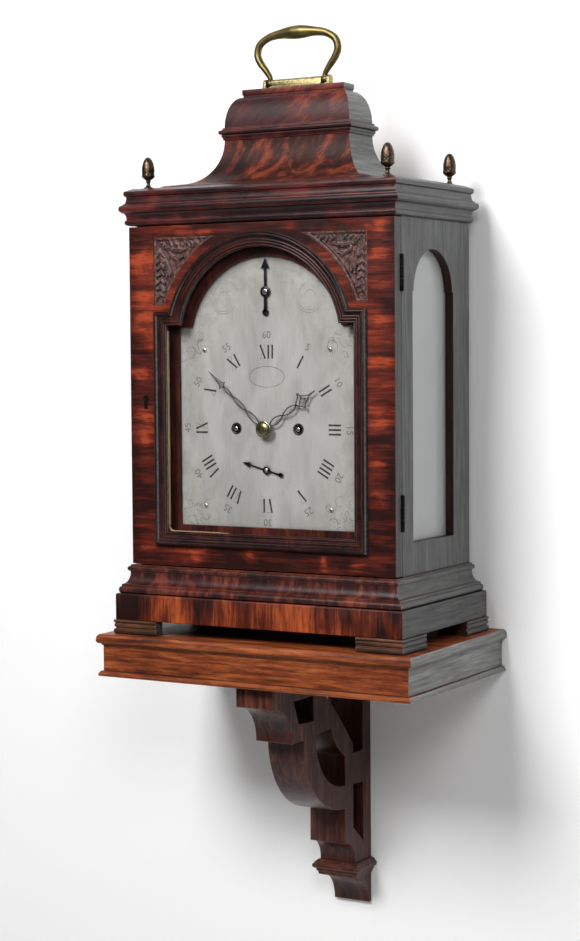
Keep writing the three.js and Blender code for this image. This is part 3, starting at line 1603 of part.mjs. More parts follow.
/** Anchor over the escape wheel, its arbor through the back plate, and the crutch behind. */
function palletArbor() {
  const span = ESCAPE_RADIUS + 2.4;
  const reach = palletZ - escapeZ;
  const anchor = new THREE.Shape();
  const armX = 10.5;
  const armZ = -reach + Math.sqrt(span * span - armX * armX);
  anchor.moveTo(-3, 3);
  anchor.lineTo(-armX - 3, armZ + 5);
  anchor.lineTo(-armX - 3.4, armZ - 1.6);
  anchor.lineTo(-armX - 1.4, armZ + 0.4);
  anchor.lineTo(-armX + 1.4, armZ + 4.6);
  anchor.lineTo(0, -3);
  anchor.lineTo(armX - 1.4, armZ + 4.6);
  anchor.lineTo(armX + 1.4, armZ + 0.4);
  anchor.lineTo(armX + 3.4, armZ - 1.6);
  anchor.lineTo(armX + 3, armZ + 5);
  anchor.lineTo(3, 3);
  anchor.closePath();
  const pallets = disc(anchor, 0, palletZ, escapeWheelFront - 0.6, escapeWheelFront + 2);
  const arbor = turnedAcross(
    [
      [0, frontPlate + 0.2],
      [PIVOT_RADIUS, frontPlate + 0.2],
      [PIVOT_RADIUS, trainFront + FIT],
      [ARBOR_RADIUS, trainFront + FIT],
      [ARBOR_RADIUS, cockFront - FIT],
      [PIVOT_RADIUS, cockFront - FIT],
      [PIVOT_RADIUS, cockFront + 1.2],
      [0, cockFront + 1.2],
    ],
    0,
    palletZ,
    8,
  );
  const crutchFront = platesRear + 1;
  const crutch = [
    block(-2, 2, crutchFront, crutchFront + 1.4, palletZ - CRUTCH_LENGTH, palletZ),
    block(-4.4, 4.4, crutchFront, crutchFront + 1.4, palletZ - CRUTCH_LENGTH - 3, palletZ - CRUTCH_LENGTH),
    block(-4.4, -2, crutchFront, pendulumBack, palletZ - CRUTCH_LENGTH - 3, palletZ - CRUTCH_LENGTH),
    block(2, 4.4, crutchFront, pendulumBack, palletZ - CRUTCH_LENGTH - 3, palletZ - CRUTCH_LENGTH),
  ];
  return join(pallets, arbor, ...crutch);
}

const beat = 3600 / ((2 * ESCAPE_TEETH * WHEEL_TEETH * THIRD_TEETH) / PINION_LEAVES ** 2);
const pendulumLength = (GRAVITY * beat ** 2) / Math.PI ** 2;

/** Pendulum: eye on the cock's stud, rod, lens-shaped bob and rating nut. */
function pendulum() {
  const middle = (pendulumFront + pendulumBack) / 2;
  const bobZ = palletZ - pendulumLength;
  const eye = bar("y", 3.4, [0, palletZ], pendulumFront, pendulumBack, 14);
  const rod = bar("z", 1.4, [0, middle], bobZ - BOB_RADIUS - 7, palletZ - 2.6, 8);
  const t = BOB_THICKNESS / 2;
  const bob = turnedAcross(
    [
      [0, middle - t],
      [0.45 * BOB_RADIUS, middle - 0.9 * t],
      [0.8 * BOB_RADIUS, middle - 0.55 * t],
      [BOB_RADIUS, middle - 0.12 * t],
      [BOB_RADIUS, middle + 0.12 * t],
      [0.8 * BOB_RADIUS, middle + 0.55 * t],
      [0.45 * BOB_RADIUS, middle + 0.9 * t],
      [0, middle + t],
    ],
    0,
    bobZ,
    16,
  );
  const nutTop = bobZ - BOB_RADIUS - 1.5;
  const nut = bar("z", 3.4, [0, middle], nutTop - 3.5, nutTop, 12);
  const bore = bar("y", 1.4 + RUN, [0, palletZ], pendulumFront - 1, pendulumBack + 1, 12);
  return cut(join(eye, rod, bob, nut), bore);
}

/** Cup bell, mouth down, on the stand over the plates. */
function strikeBell() {
  const outer = [];
  const inner = [];
  const steps = 5;
  for (let i = 0; i <= steps; i += 1) {
    const turn = (i / steps) * (Math.PI / 2);
    const flare = i === 0 ? 0.8 : 0;
    const r = Math.cos(turn) ** 0.7;
    const h = Math.sin(turn);
    outer.push([(BELL_RADIUS - 0.8) * r + flare, BELL_HEIGHT * h]);
    inner.push([(BELL_RADIUS - 0.8 - BELL_WALL) * r + flare, (BELL_HEIGHT - BELL_WALL) * h]);
  }
  outer[steps] = [0, BELL_HEIGHT];
  inner[steps] = [0, BELL_HEIGHT - BELL_WALL];
  return tidy(turned([...inner.reverse(), ...outer], 0, bellY, bellMouth, 16));
}

/** Hammer: arbor between the plates, bent stem and a round head just off the bell's rim. */
function strikeHammer() {
  const headZ = bellMouth + 4;
  const headTip = -BELL_RADIUS - 2.2;
  const head = bar("x", 3, [bellY, headZ], headTip - 12, headTip, 12);
  const stem = block(headTip - 8, headTip - 6, bellY - 1.5, bellY + 1.5, hammerZ + 6, headZ);
  const foot = block(HAMMER_X - 2, headTip - 6, bellY - 1.5, bellY + 1.5, hammerZ - 1, hammerZ + 8);
  return join(platedArbor(HAMMER_X, hammerZ, ARBOR_RADIUS), stem, foot, head);
}

// ---------- finishes ----------

const finish = (color, roughness, metalness = 0) => ({ color, roughness, metalness });
const MAHOGANY = finish(0x5a2417, 0.38);
const MOULDED = finish(0x3b1912, 0.36);
const CARVED = finish(0x4a2119, 0.55);
const SHELF_WOOD = finish(0x6e3620, 0.42);
const CORBEL_WOOD = finish(0x4f2a21, 0.5);
const CARCASS = finish(0x5b3d2b, 0.7);
const SILVERED = finish(0xb9b8b2, 0.45, 0.6);
const HANDLE_BRASS = finish(0x9c8a55, 0.35, 0.9);
const DARK_BRASS = finish(0x4d3a26, 0.45, 0.8);
const MOVEMENT_BRASS = finish(0xb08a45, 0.35, 0.9);
const STEEL = finish(0x55565a, 0.35, 0.9);
const BELL_METAL = finish(0xa68f62, 0.35, 0.9);
const PANE = finish(0xdfe6e6, 0.08);

const group = new THREE.Group();

function add(name, geometry, look) {
  const clean = tidy(geometry);
  clean.computeVertexNormals();
  const mesh = new THREE.Mesh(clean, new THREE.MeshStandardMaterial(look));
  mesh.name = name;
  group.add(mesh);
}

add("shelf_board", shelfBoard(), SHELF_WOOD);
add("shelf_frieze", shelfFrieze(), SHELF_WOOD);
add("shelf_soffit", shelfSoffit(), SHELF_WOOD);
add("corbel", corbel(), CORBEL_WOOD);
add("corbel_moulding", corbelMoulding(), CORBEL_WOOD);

add("case_side_left", caseSide(-1), MAHOGANY);
add("case_side_right", caseSide(1), MAHOGANY);
add("case_floor", caseFloor(), CARCASS);
add("case_top_board", caseTopBoard(), CARCASS);
add("plinth", plinth(), MAHOGANY);
add("base_moulding", baseMoulding(), MOULDED);
for (const [name, sideX, sideY] of [
  ["front_left", -1, -1],
  ["front_right", 1, -1],
  ["rear_left", -1, 1],
  ["rear_right", 1, 1],
]) {
  add(`foot_${name}`, foot(sideX, sideY), MAHOGANY);
  add(`finial_${name}`, finial(sideX, sideY), DARK_BRASS);
}
add("cornice", cornice(), MOULDED);
add("bell_cove", bellCove(), MAHOGANY);
add("bell_waist_moulding", bellWaist(), MOULDED);
add("bell_dome", bellDome(), MAHOGANY);
add("cap_block", capBlock(), MOULDED);
add("handle_plate", handlePlate(), HANDLE_BRASS);
add("carrying_handle", carryingHandle(), HANDLE_BRASS);
add("side_glass_left", sideGlass(-1), PANE);
add("side_glass_right", sideGlass(1), PANE);

add("door_frame", doorFrame(), MAHOGANY);
add("door_moulding", doorMoulding(), MOULDED);
add("spandrel_left", spandrel(-1), CARVED);
add("spandrel_right", spandrel(1), CARVED);
add("door_glass", doorGlass(), PANE);
add("door_lock", doorLock(), DARK_BRASS);
add("door_hinge_upper", doorLeaf(hingeLevels[0]), DARK_BRASS);
add("door_hinge_lower", doorLeaf(hingeLevels[1]), DARK_BRASS);
add("case_hinge_upper", caseLeaf(hingeLevels[0]), DARK_BRASS);
add("case_hinge_lower", caseLeaf(hingeLevels[1]), DARK_BRASS);
add("rear_door_frame", rearDoorFrame(), MAHOGANY);
add("rear_door_glass", rearDoorGlass(), PANE);

add("dial_mask", dialMask(), CARCASS);
add("dial_plate", dialPlate(), SILVERED);
add("hour_hand", hourHand(), STEEL);
add("minute_hand", minuteHand(), STEEL);
add("hand_collet", handCollet(), HANDLE_BRASS);
add("strike_silent_hand", smallHand(STRIKE_HAND_LENGTH, 14, 2.4, dialZ + STRIKE_HAND_UP, 0), STEEL);
add("date_hand", smallHand(DATE_HAND_LENGTH, 15, 1.6, dialZ - DATE_HAND_DOWN, DATE_HAND_ANGLE), STEEL);

add("movement_front_plate", movementFrontPlate(), MOVEMENT_BRASS);
add("movement_back_plate", movementBackPlate(), MOVEMENT_BRASS);
add("going_barrel", barrel(1), MOVEMENT_BRASS);
add("strike_barrel", barrel(-1), MOVEMENT_BRASS);
add("going_fusee", fusee(1, greatWheelFront, greatPitch, Math.PI + Math.PI / WHEEL_TEETH), MOVEMENT_BRASS);
add("strike_fusee", fusee(-1, strikeWheelFront, STRIKE_WHEEL_RADIUS, 0), MOVEMENT_BRASS);
add("centre_wheel", centreWheel(), MOVEMENT_BRASS);
add("third_wheel", thirdWheel(), MOVEMENT_BRASS);
add("escape_wheel", escapeWheel(), MOVEMENT_BRASS);
add("pallet_arbor", palletArbor(), STEEL);
add("pendulum", pendulum(), MOVEMENT_BRASS);
add("strike_bell", strikeBell(), BELL_METAL);
add("strike_hammer", strikeHammer(), STEEL);

export default group;
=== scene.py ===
import json
import math
import random

import bmesh
import bpy
from mathutils import Matrix, Vector, noise


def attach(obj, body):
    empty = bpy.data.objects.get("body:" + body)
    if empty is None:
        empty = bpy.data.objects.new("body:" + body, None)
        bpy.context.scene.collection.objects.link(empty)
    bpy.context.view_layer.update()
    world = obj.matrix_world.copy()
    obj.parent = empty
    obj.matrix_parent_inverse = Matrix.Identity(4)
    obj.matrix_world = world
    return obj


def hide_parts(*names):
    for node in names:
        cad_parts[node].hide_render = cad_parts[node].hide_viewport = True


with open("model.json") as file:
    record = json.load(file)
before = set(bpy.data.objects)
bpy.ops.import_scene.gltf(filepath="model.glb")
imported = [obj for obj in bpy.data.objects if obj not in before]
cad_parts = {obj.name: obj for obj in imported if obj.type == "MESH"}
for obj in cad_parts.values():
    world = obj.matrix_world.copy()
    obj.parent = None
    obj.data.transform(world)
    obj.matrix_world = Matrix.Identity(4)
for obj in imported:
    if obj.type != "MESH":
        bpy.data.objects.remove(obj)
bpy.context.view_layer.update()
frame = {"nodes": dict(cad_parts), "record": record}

MM = 0.001
RECORD = frame["record"]
BODY = {n: body for body, names in RECORD["behaviour"]["bodies"].items() for n in names}
SLOT = {part["node"]: part["material_slot"] for part in RECORD["subparts"]}
chance = random.Random(7)

# Levels and planes of the part, in millimetres.
CASE_HALF = 135.0
DOOR_FACE = -173.0
CASE_BACK = -25.0
CASE_MIDDLE = -99.0
CASE_BOTTOM = 85.1
CASE_TOP = 393.1
CORNICE_TOP = 426.7
SHELF_TOP = 22.1
DIAL_FACE = -157.9
DIAL_Z = 210.4
STRIKE_Z = 331.6
DATE_Z = 173.8
HANDLE_PIVOT = 521.7
FOOT_TOP = 35.1
PLINTH_TOP = 59.1
WAIST_LOW = 470.7
DOME_LOW = 481.7
CAP_LOW = 509.7
# What is left between pieces that only touch.
TOUCH = 0.05


# ---------- node trees ----------

class Finish:
    """A material with short calls for its nodes."""

    def __init__(self, name, **sockets):
        self.material = bpy.data.materials.new(name)
        self.material.use_nodes = True
        tree = self.material.node_tree
        self.nodes = tree.nodes
        self.links = tree.links
        self.shader = tree.nodes["Principled BSDF"]
        self.coords = self.nodes.new("ShaderNodeTexCoord").outputs["Object"]
        for key, value in sockets.items():
            self.shader.inputs[key.replace("_", " ")].default_value = value

    def feed(self, socket, value):
        if isinstance(value, bpy.types.NodeSocket):
            self.links.new(value, socket)
        else:
            socket.default_value = value

    def node(self, kind, out=0, settings=None, **inputs):
        node = self.nodes.new("ShaderNode" + kind)
        for key, value in (settings or {}).items():
            setattr(node, key, value)
        for key, value in inputs.items():
            self.feed(node.inputs[key.replace("_", " ")], value)
        return node.outputs[out]

    def math(self, operation, *values, clamp=False):
        node = self.nodes.new("ShaderNodeMath")
        node.operation = operation
        node.use_clamp = clamp
        for socket, value in zip(node.inputs, values):
            self.feed(socket, value)
        return node.outputs[0]

    def times(self, a, b, clamp=False):
        return self.math("MULTIPLY", a, b, clamp=clamp)

    def plus(self, a, b):
        return self.math("ADD", a, b)

    def minus(self, a, b, clamp=False):
        return self.math("SUBTRACT", a, b, clamp=clamp)

    def line(self, value, slope, offset):
        return self.math("MULTIPLY_ADD", value, slope, offset)

    def share(self, part, whole):
        return self.math("DIVIDE", part, whole, clamp=True)

    def mix(self, factor, a, b, blend="MIX"):
        node = self.nodes.new("ShaderNodeMix")
        node.data_type = "RGBA"
        node.blend_type = blend
        for index, value in ((0, factor), (6, a), (7, b)):
            if isinstance(value, tuple) and len(value) == 3:
                value = (*value, 1.0)
            self.feed(node.inputs[index], value)
        return node.outputs[2]

    def ramp(self, factor, *stops):
        node = self.nodes.new("ShaderNodeValToRGB")
        elements = node.color_ramp.elements
        while len(elements) < len(stops):
            elements.new(0.5)
        for element, (position, color) in zip(elements, stops):
            element.position = position
            level = (color, color, color) if isinstance(color, float) else color
            element.color = (*level, 1.0)
        self.feed(node.inputs[0], factor)
        return node.outputs[0]

    def mapped(self, **placing):
        return self.node("Mapping", settings={"vector_type": "TEXTURE"}, Vector=self.coords, **placing)

    def stretch(self, x, y, z, turn=(0, 0, 0)):
        """Coordinates drawn out along axes that may be turned first."""
        return self.mapped(Scale=(1 / x, 1 / y, 1 / z), Rotation=turn)

    def vector(self, operation, *values, out=0):
        result = self.node("VectorMath", out=out, settings={"operation": operation})
        for socket, value in zip(result.node.inputs, values):
            self.feed(socket, value)
        return result

    def noise(self, vector, scale, detail=3.0, distortion=0.0, roughness=0.5):
        return self.node("TexNoise", Vector=vector, Scale=scale, Detail=detail,
                         Distortion=distortion, Roughness=roughness)

    def axis(self, name):
        node = self.nodes.new("ShaderNodeSeparateXYZ")
        self.links.new(self.coords, node.inputs[0])
        return node.outputs[name]

    def edges(self, radius):
        """About 1 where the surface turns within the radius, 0 where it is flat."""
        bevel = self.node("Bevel", settings={"samples": 4}, Radius=radius)
        normal = self.node("NewGeometry", out=1)
        return self.minus(1.0, self.vector("DOT_PRODUCT", bevel, normal, out=1))

    def hollows(self, distance):
        """1 in the open, less in corners and recesses."""
        return self.node("AmbientOcclusion", out=1, settings={"samples": 6}, Distance=distance)

    def flank(self):
        """1 on faces that look to the left or right, 0 on the others."""
        node = self.nodes.new("ShaderNodeSeparateXYZ")
        self.links.new(self.coords.node.outputs["Normal"], node.inputs[0])
        level = self.minus(self.math("ABSOLUTE", node.outputs[0]),
                          self.math("ABSOLUTE", node.outputs[1]))
        return self.times(self.minus(level, 0.05), 8.0, clamp=True)

    def spots(self, places):
        """Soft patches of lively figure, each from its centre and half size in millimetres."""
        warp = self.noise(self.coords, 70.0, 4.0, 0.6)
        total = None
        for x, z, half, rise in places:
            spot = self.mapped(Location=(x * MM, 0, z * MM), Scale=(half * MM, 1.0, rise * MM))
            reach = self.vector("LENGTH", spot, out=1)
            reach = self.line(warp, 1.7, self.minus(reach, 0.85))
            level = self.minus(1.25, reach, clamp=True)
            total = level if total is None else self.math("MAXIMUM", total, level)
        return self.times(total, self.line(total, 0.5, 0.5))

    def bump(self, height, distance, strength=1.0):
        bump = self.node("Bump", Height=height, Distance=distance, Strength=strength)
        self.links.new(bump, self.shader.inputs["Normal"])

    def plug(self, name, value):
        self.feed(self.shader.inputs[name], value)


def srgb(r, g, b):
    return tuple(((c / 255 + 0.055) / 1.055) ** 2.4 if c > 10 else c / 3294 for c in (r, g, b))


def along(axis, fibre, across=1.0):
    """Scale triple that draws a pattern out along one axis."""
    return tuple(fibre if name == axis else across for name in "XYZ")


def wood(name, dark, mid, light, grain="X", figure=26.0, flame=0.6, bands=None, spots=(), rubbed_edge_highlight=None,
         rubbed_edge_highlight_amount=0.5, rough=0.34, coat=0.1, sheen=0.25, shade=None, turn=(0, 0, 0), side_sheen=1.0,
         side_grain="Y"):
    """Old polished mahogany: figure, ribbon bands, fibre, pores, rubbed edges with painted highlight, dirt
    and painted shade in corners, and painted grey sheen on faces that look left or right.
    """
    dark, mid, light = srgb(*dark), srgb(*mid), srgb(*light)
    f = Finish(name, Coat_Weight=coat, Coat_Roughness=0.22, Specular_IOR_Level=sheen)
    fibre = f.noise(f.stretch(*along(grain, 0.035), turn), 1000.0, 4.0, 0.2, 0.6)
    streak = f.noise(f.stretch(*along(grain, 0.1), turn), 240.0, 3.0, 0.5)
    cloud = f.noise(f.stretch(*along(grain, 0.4), turn), figure, 4.0, 1.2, 0.6)
    value = f.line(cloud, flame, f.times(streak, 0.9 - flame))
    value = f.plus(value, f.line(fibre, 0.26, -0.05))
    if bands:
        axis, period, amount = bands
        ripple = f.noise(f.stretch(*along(axis, 1.0, 0.16)), 1000.0 / period, 3.0, 0.5)
        ripple = f.minus(ripple, 0.5)
        value = f.plus(value, f.times(ripple, amount))
    if spots:
        lively = f.times(f.spots(spots), f.line(streak, 0.34, 0.0))
        value = f.plus(value, lively)
    if shade is not None:
        value = f.minus(value, shade(f))
    color = f.ramp(value, (0.4, dark), (0.53, mid), (0.7, light))
    pores = f.noise(f.stretch(*along(grain, 0.06), turn), 2200.0, 1.0, 0.0)
    pores = f.ramp(pores, (0.6, 1.0), (0.7, 0.4))
    color = f.mix(1.0, color, pores, "MULTIPLY")
    open_air = f.hollows(0.006)
    patch = f.noise(f.coords, 95.0, 4.0, 0.4)
    flank = f.flank()
    # Open edges lightened: partly rubbed wood, partly painted highlight along the edges of the mouldings.
    if rubbed_edge_highlight:
        rim = f.times(f.edges(0.0011), 5.0, clamp=True)
        rim = f.times(rim, f.ramp(patch, (0.36, 0.2), (0.58, 1.0)))
        rim = f.times(rim, f.ramp(open_air, (0.5, 0.0), (0.8, 1.0)))
        color = f.mix(f.times(rim, rubbed_edge_highlight_amount), color, srgb(*rubbed_edge_highlight))
    # Painted reflection: faces that look to the left or right turn a grained grey, standing in for a pale
    # room seen in the polish.
    if side_sheen:
        tones = [tuple(side_sheen * c for c in tone) for tone in (SIDE_SHEEN_DARK, SIDE_SHEEN_MID, SIDE_SHEEN_LIGHT)]
        grain_value = f.noise(f.stretch(*along(side_grain, 0.05)), 420.0, 5.0, 0.3, 0.65)
        grey = f.ramp(grain_value, (0.3, tones[0]), (0.5, tones[1]), (0.7, tones[2]))
        color = f.mix(f.times(flank, 0.94), color, grey)
    # Painted shade with dirt: darker and rougher where corners and recesses hem the surface in.
    dirt_and_shade = f.ramp(open_air, (0.25, 1.0), (0.8, 0.0))
    color = f.mix(f.times(dirt_and_shade, 0.75), color, srgb(14, 9, 9))
    f.plug("Base Color", color)
    gloss = f.line(patch, 0.26, rough - 0.12)
    gloss = f.plus(gloss, f.times(flank, 0.14))
    f.plug("Roughness", f.plus(gloss, f.times(dirt_and_shade, 0.2)))
    height = f.plus(f.times(fibre, 0.5), f.times(pores, 0.5))
    height = f.plus(height, f.times(patch, 1.2))
    f.bump(height, 0.00018, 0.5)
    return f.material


def edge_shade(start, end, amount):
    """Darker towards the left and right ends."""
    def shade(f):
        side = f.math("ABSOLUTE", f.axis("X"))
        part = f.share(f.minus(side, start), end - start)
        return f.times(f.math("POWER", part, 1.6), amount)
    return shade


def metal(name, dark, light, rough=0.32, brushed=None, scale=220.0, dirt_and_shade_amount=0.7):
    """Metal with a brushed or cast face, patina in patches, dirt and painted shade in its corners, and
    painted highlight on its edges.
    """
    dark, light = srgb(*dark), srgb(*light)
    f = Finish(name, Metallic=1.0)
    patch = f.noise(f.coords, scale, 5.0, 0.8)
    vector = f.stretch(*along(brushed, 0.03)) if brushed else f.coords
    fine = f.noise(vector, 2400.0 if brushed else 1500.0, 3.0)
    value = f.line(fine, 0.3, f.times(patch, 0.7))
    color = f.ramp(value, (0.36, dark), (0.62, light))
    open_air = f.hollows(0.004)
    # Dirt and painted shade: near black where corners and recesses hem the surface in.
    dirt_and_shade = f.ramp(open_air, (0.3, 1.0), (0.85, 0.0))
    color = f.mix(f.times(dirt_and_shade, dirt_and_shade_amount), color, tuple(c * 0.18 for c in dark))
    # Painted highlight: edges lightened as if they caught the light.
    rim = f.times(f.edges(0.0006), 3.0, clamp=True)
    color = f.mix(f.times(rim, 0.4), color, tuple(min(1.0, c * 1.35) for c in light))
    f.plug("Base Color", color)
    f.plug("Roughness", f.line(value, 0.3, rough - 0.12))
    f.bump(value, 0.0001, 0.35)
    return f.material


# ---------- finishes ----------

# Centre of the dial's clean middle in metres, and how its reach is measured across and up.
DIAL_MIDDLE = (0.0, 0.0, 0.215)
DIAL_SQUEEZE = (1.0, 0.0, 0.72)

# Greys of the painted side sheen: a pale room reflected in the polish of the left and right faces.
SIDE_SHEEN_DARK, SIDE_SHEEN_MID, SIDE_SHEEN_LIGHT = srgb(72, 74, 73), srgb(93, 95, 94), srgb(116, 118, 116)
FLAME = dict(dark=(40, 15, 12), mid=(88, 31, 22), light=(156, 64, 38))
DEEP = dict(dark=(26, 13, 14), mid=(60, 26, 26), light=(130, 62, 44))
NEAR_BLACK = dict(dark=(12, 7, 8), mid=(26, 14, 15), light=(66, 32, 28))
WARM = dict(dark=(66, 28, 14), mid=(122, 57, 28), light=(178, 98, 52))
# Edge tones: rubbed wood with painted highlight.
ORANGE_RUBBED_HIGHLIGHT = (168, 82, 46)
RED_RUBBED_HIGHLIGHT = (158, 70, 50)


def door_shade(f):
    """Darker towards the door's foot, its top rail and its outer edges."""
    height = f.axis("Z")
    foot = f.share(f.minus(0.235, height), 0.1)
    head = f.share(f.minus(height, 0.368), 0.01)
    return f.plus(edge_shade(0.116, 0.1355, 0.08)(f),
                  f.line(foot, 0.075, f.times(head, 0.06)))


# Patches of lively figure on the door: centre x and z, then half width and half height.
DOOR_FIGURE = [
    (-120, 363, 15, 8), (-120, 328, 15, 6), (-121, 309, 14, 6), (-121, 286, 15, 5), (-122, 257, 14, 10),
    (-122, 219, 15, 8), (-122, 201, 14, 7), (122, 363, 13, 10), (122, 306, 13, 7), (121, 270, 13, 5),
    (121, 220, 13, 8), (121, 182, 13, 6), (121, 151, 13, 9), (-74, 386, 30, 5), (34, 388, 12, 6),
    (121, 386, 13, 8), (-118, 102, 10, 4), (-68, 97, 17, 8), (-10, 98, 9, 8), (65, 96, 5, 9), (97, 94, 9, 7),
]

door_wood = wood("flame_veneer", **FLAME, grain="X", figure=30.0, flame=0.5, bands=("Z", 22.0, 0.2),
                 spots=DOOR_FIGURE, rubbed_edge_highlight=(150, 60, 34), shade=door_shade, rough=0.36, coat=0.08,
                 side_grain="Z", side_sheen=0.62)
reed_wood = wood("reeded_mahogany", **NEAR_BLACK, grain="Z", figure=60.0, rubbed_edge_highlight=(150, 62, 40),
                 rubbed_edge_highlight_amount=0.85, rough=0.36, coat=0.08, sheen=0.2)
cornice_wood = wood("cornice_mahogany", dark=(18, 8, 10), mid=(40, 17, 19), light=(96, 38, 34),
                    grain="X", figure=30.0, bands=("X", 12.0, 0.2), rubbed_edge_highlight=RED_RUBBED_HIGHLIGHT, rubbed_edge_highlight_amount=0.85, rough=0.32,
                    coat=0.2, sheen=0.3, side_sheen=0.58)
cove_wood = wood("cove_flame", dark=(30, 13, 11), mid=(60, 24, 18), light=(142, 62, 34),
                 grain="X", figure=55.0, flame=0.75, rubbed_edge_highlight=RED_RUBBED_HIGHLIGHT, turn=(0, math.radians(-60), 0),
                 rough=0.46, coat=0.0, sheen=0.2, side_sheen=1.7)
dome_wood = wood("dome_flame", dark=(38, 15, 17), mid=(76, 28, 25), light=(150, 66, 42),
                 grain="X", figure=36.0, flame=0.7, rubbed_edge_highlight=RED_RUBBED_HIGHLIGHT, turn=(0, math.radians(-35), 0),
                 rough=0.42, coat=0.1, sheen=0.3, side_sheen=1.7)
base_wood = wood("cross_grain", **DEEP, grain="Z", figure=34.0, bands=("X", 9.0, 0.35),
                 rubbed_edge_highlight=ORANGE_RUBBED_HIGHLIGHT, rubbed_edge_highlight_amount=0.85, rough=0.34, coat=0.16, sheen=0.3, side_sheen=0.84)
plinth_wood = wood("plinth_veneer", dark=(32, 11, 8), mid=(94, 36, 20), light=(176, 84, 42),
                   grain="Z", figure=16.0, bands=("X", 17.0, 0.4), rubbed_edge_highlight=ORANGE_RUBBED_HIGHLIGHT,
                   shade=edge_shade(0.075, 0.147, 0.2), rough=0.42, coat=0.04, sheen=0.2, side_sheen=0.84)
foot_wood = wood("rubbed_highlit_feet", dark=(34, 20, 15), mid=(70, 42, 30), light=(122, 78, 52), grain="X",
                 figure=40.0, rubbed_edge_highlight=(184, 122, 80), rubbed_edge_highlight_amount=0.9, rough=0.46, coat=0.05)
shelf_wood = wood("shelf_mahogany", **WARM, grain="X", figure=14.0, flame=0.3,
                  rubbed_edge_highlight=(206, 124, 64), rubbed_edge_highlight_amount=0.9, rough=0.46, coat=0.04, sheen=0.25, side_sheen=2.1)
corbel_wood = wood("corbel_mahogany", dark=(38, 18, 15), mid=(70, 36, 30), light=(116, 68, 54),
                   grain="Z", figure=18.0, flame=0.4, rubbed_edge_highlight=(160, 104, 80), rubbed_edge_highlight_amount=0.8, rough=0.36,
                   coat=0.2, side_sheen=0.0)
side_wood = wood("side_mahogany", dark=(22, 12, 11), mid=(40, 21, 18), light=(66, 34, 27),
                 grain="Z", figure=14.0, flame=0.4, rubbed_edge_highlight=(86, 44, 34), rubbed_edge_highlight_amount=0.5, rough=0.4,
                 side_grain="Z")
carcass_wood = wood("carcass_oak", dark=(58, 38, 24), mid=(92, 64, 42), light=(128, 94, 64),
                    grain="Z", figure=14.0, flame=0.35, rough=0.6, coat=0.0, side_sheen=0.0)
mask_wood = wood("mask_mahogany", dark=(30, 12, 11), mid=(62, 24, 20), light=(112, 48, 34),
                 grain="Z", figure=22.0, rubbed_edge_highlight=(120, 54, 36), rough=0.4, side_sheen=0.0)

handle_brass = metal("handle_brass", (84, 74, 46), (136, 122, 78), 0.4, scale=70.0)
plate_brass = metal("plate_brass", (118, 106, 68), (196, 182, 134), 0.44, scale=420.0, dirt_and_shade_amount=0.9)
black_iron = metal("black_iron", (22, 21, 21), (48, 46, 44), 0.45, scale=320.0)
dark_brass = metal("dark_brass", (46, 36, 29), (112, 94, 76), 0.34, scale=320.0, dirt_and_shade_amount=0.9)
gilt_brass = metal("collet_brass", (176, 164, 112), (224, 214, 168), 0.3)
movement_brass = metal("movement_brass", (150, 116, 56), (200, 166, 92), 0.3, brushed="Z")
bell_metal = metal("bell_metal", (128, 108, 70), (184, 162, 112), 0.3, scale=90.0)
steel = metal("steel", (74, 76, 80), (134, 136, 140), 0.3, brushed="X")
blued_steel = metal("blued_steel", (26, 26, 30), (60, 60, 66), 0.36)
hand_steel = metal("hand_steel", (96, 98, 100), (170, 172, 174), 0.34)
rivet_steel = metal("rivet_steel", (168, 168, 166), (226, 226, 222), 0.3)


def carved_finish():
    f = Finish("carved_mahogany", Coat_Weight=0.1, Coat_Roughness=0.3)
    patch = f.noise(f.coords, 260.0, 4.0, 0.5)
    color = f.ramp(patch, (0.35, srgb(36, 17, 15)), (0.52, srgb(76, 42, 36)), (0.7, srgb(132, 90, 80)))
    # Painted shade with dirt: the sunk ground and the gaps between leaves go near black.
    open_air = f.hollows(0.0024)
    dirt_and_shade = f.ramp(open_air, (0.6, 1.0), (0.92, 0.0))
    color = f.mix(f.times(dirt_and_shade, 0.97), color, srgb(13, 7, 7))
    # Painted highlight: the leaves' edges and ridges lightened as if they caught the light.
    rim = f.times(f.edges(0.0006), 4.0, clamp=True)
    color = f.mix(f.times(rim, 0.5), color, srgb(190, 150, 138))
    f.plug("Base Color", color)
    f.plug("Roughness", f.line(patch, 0.3, 0.36))
    f.bump(f.noise(f.coords, 1400.0, 3.0), 0.00015, 0.4)
    return f.material


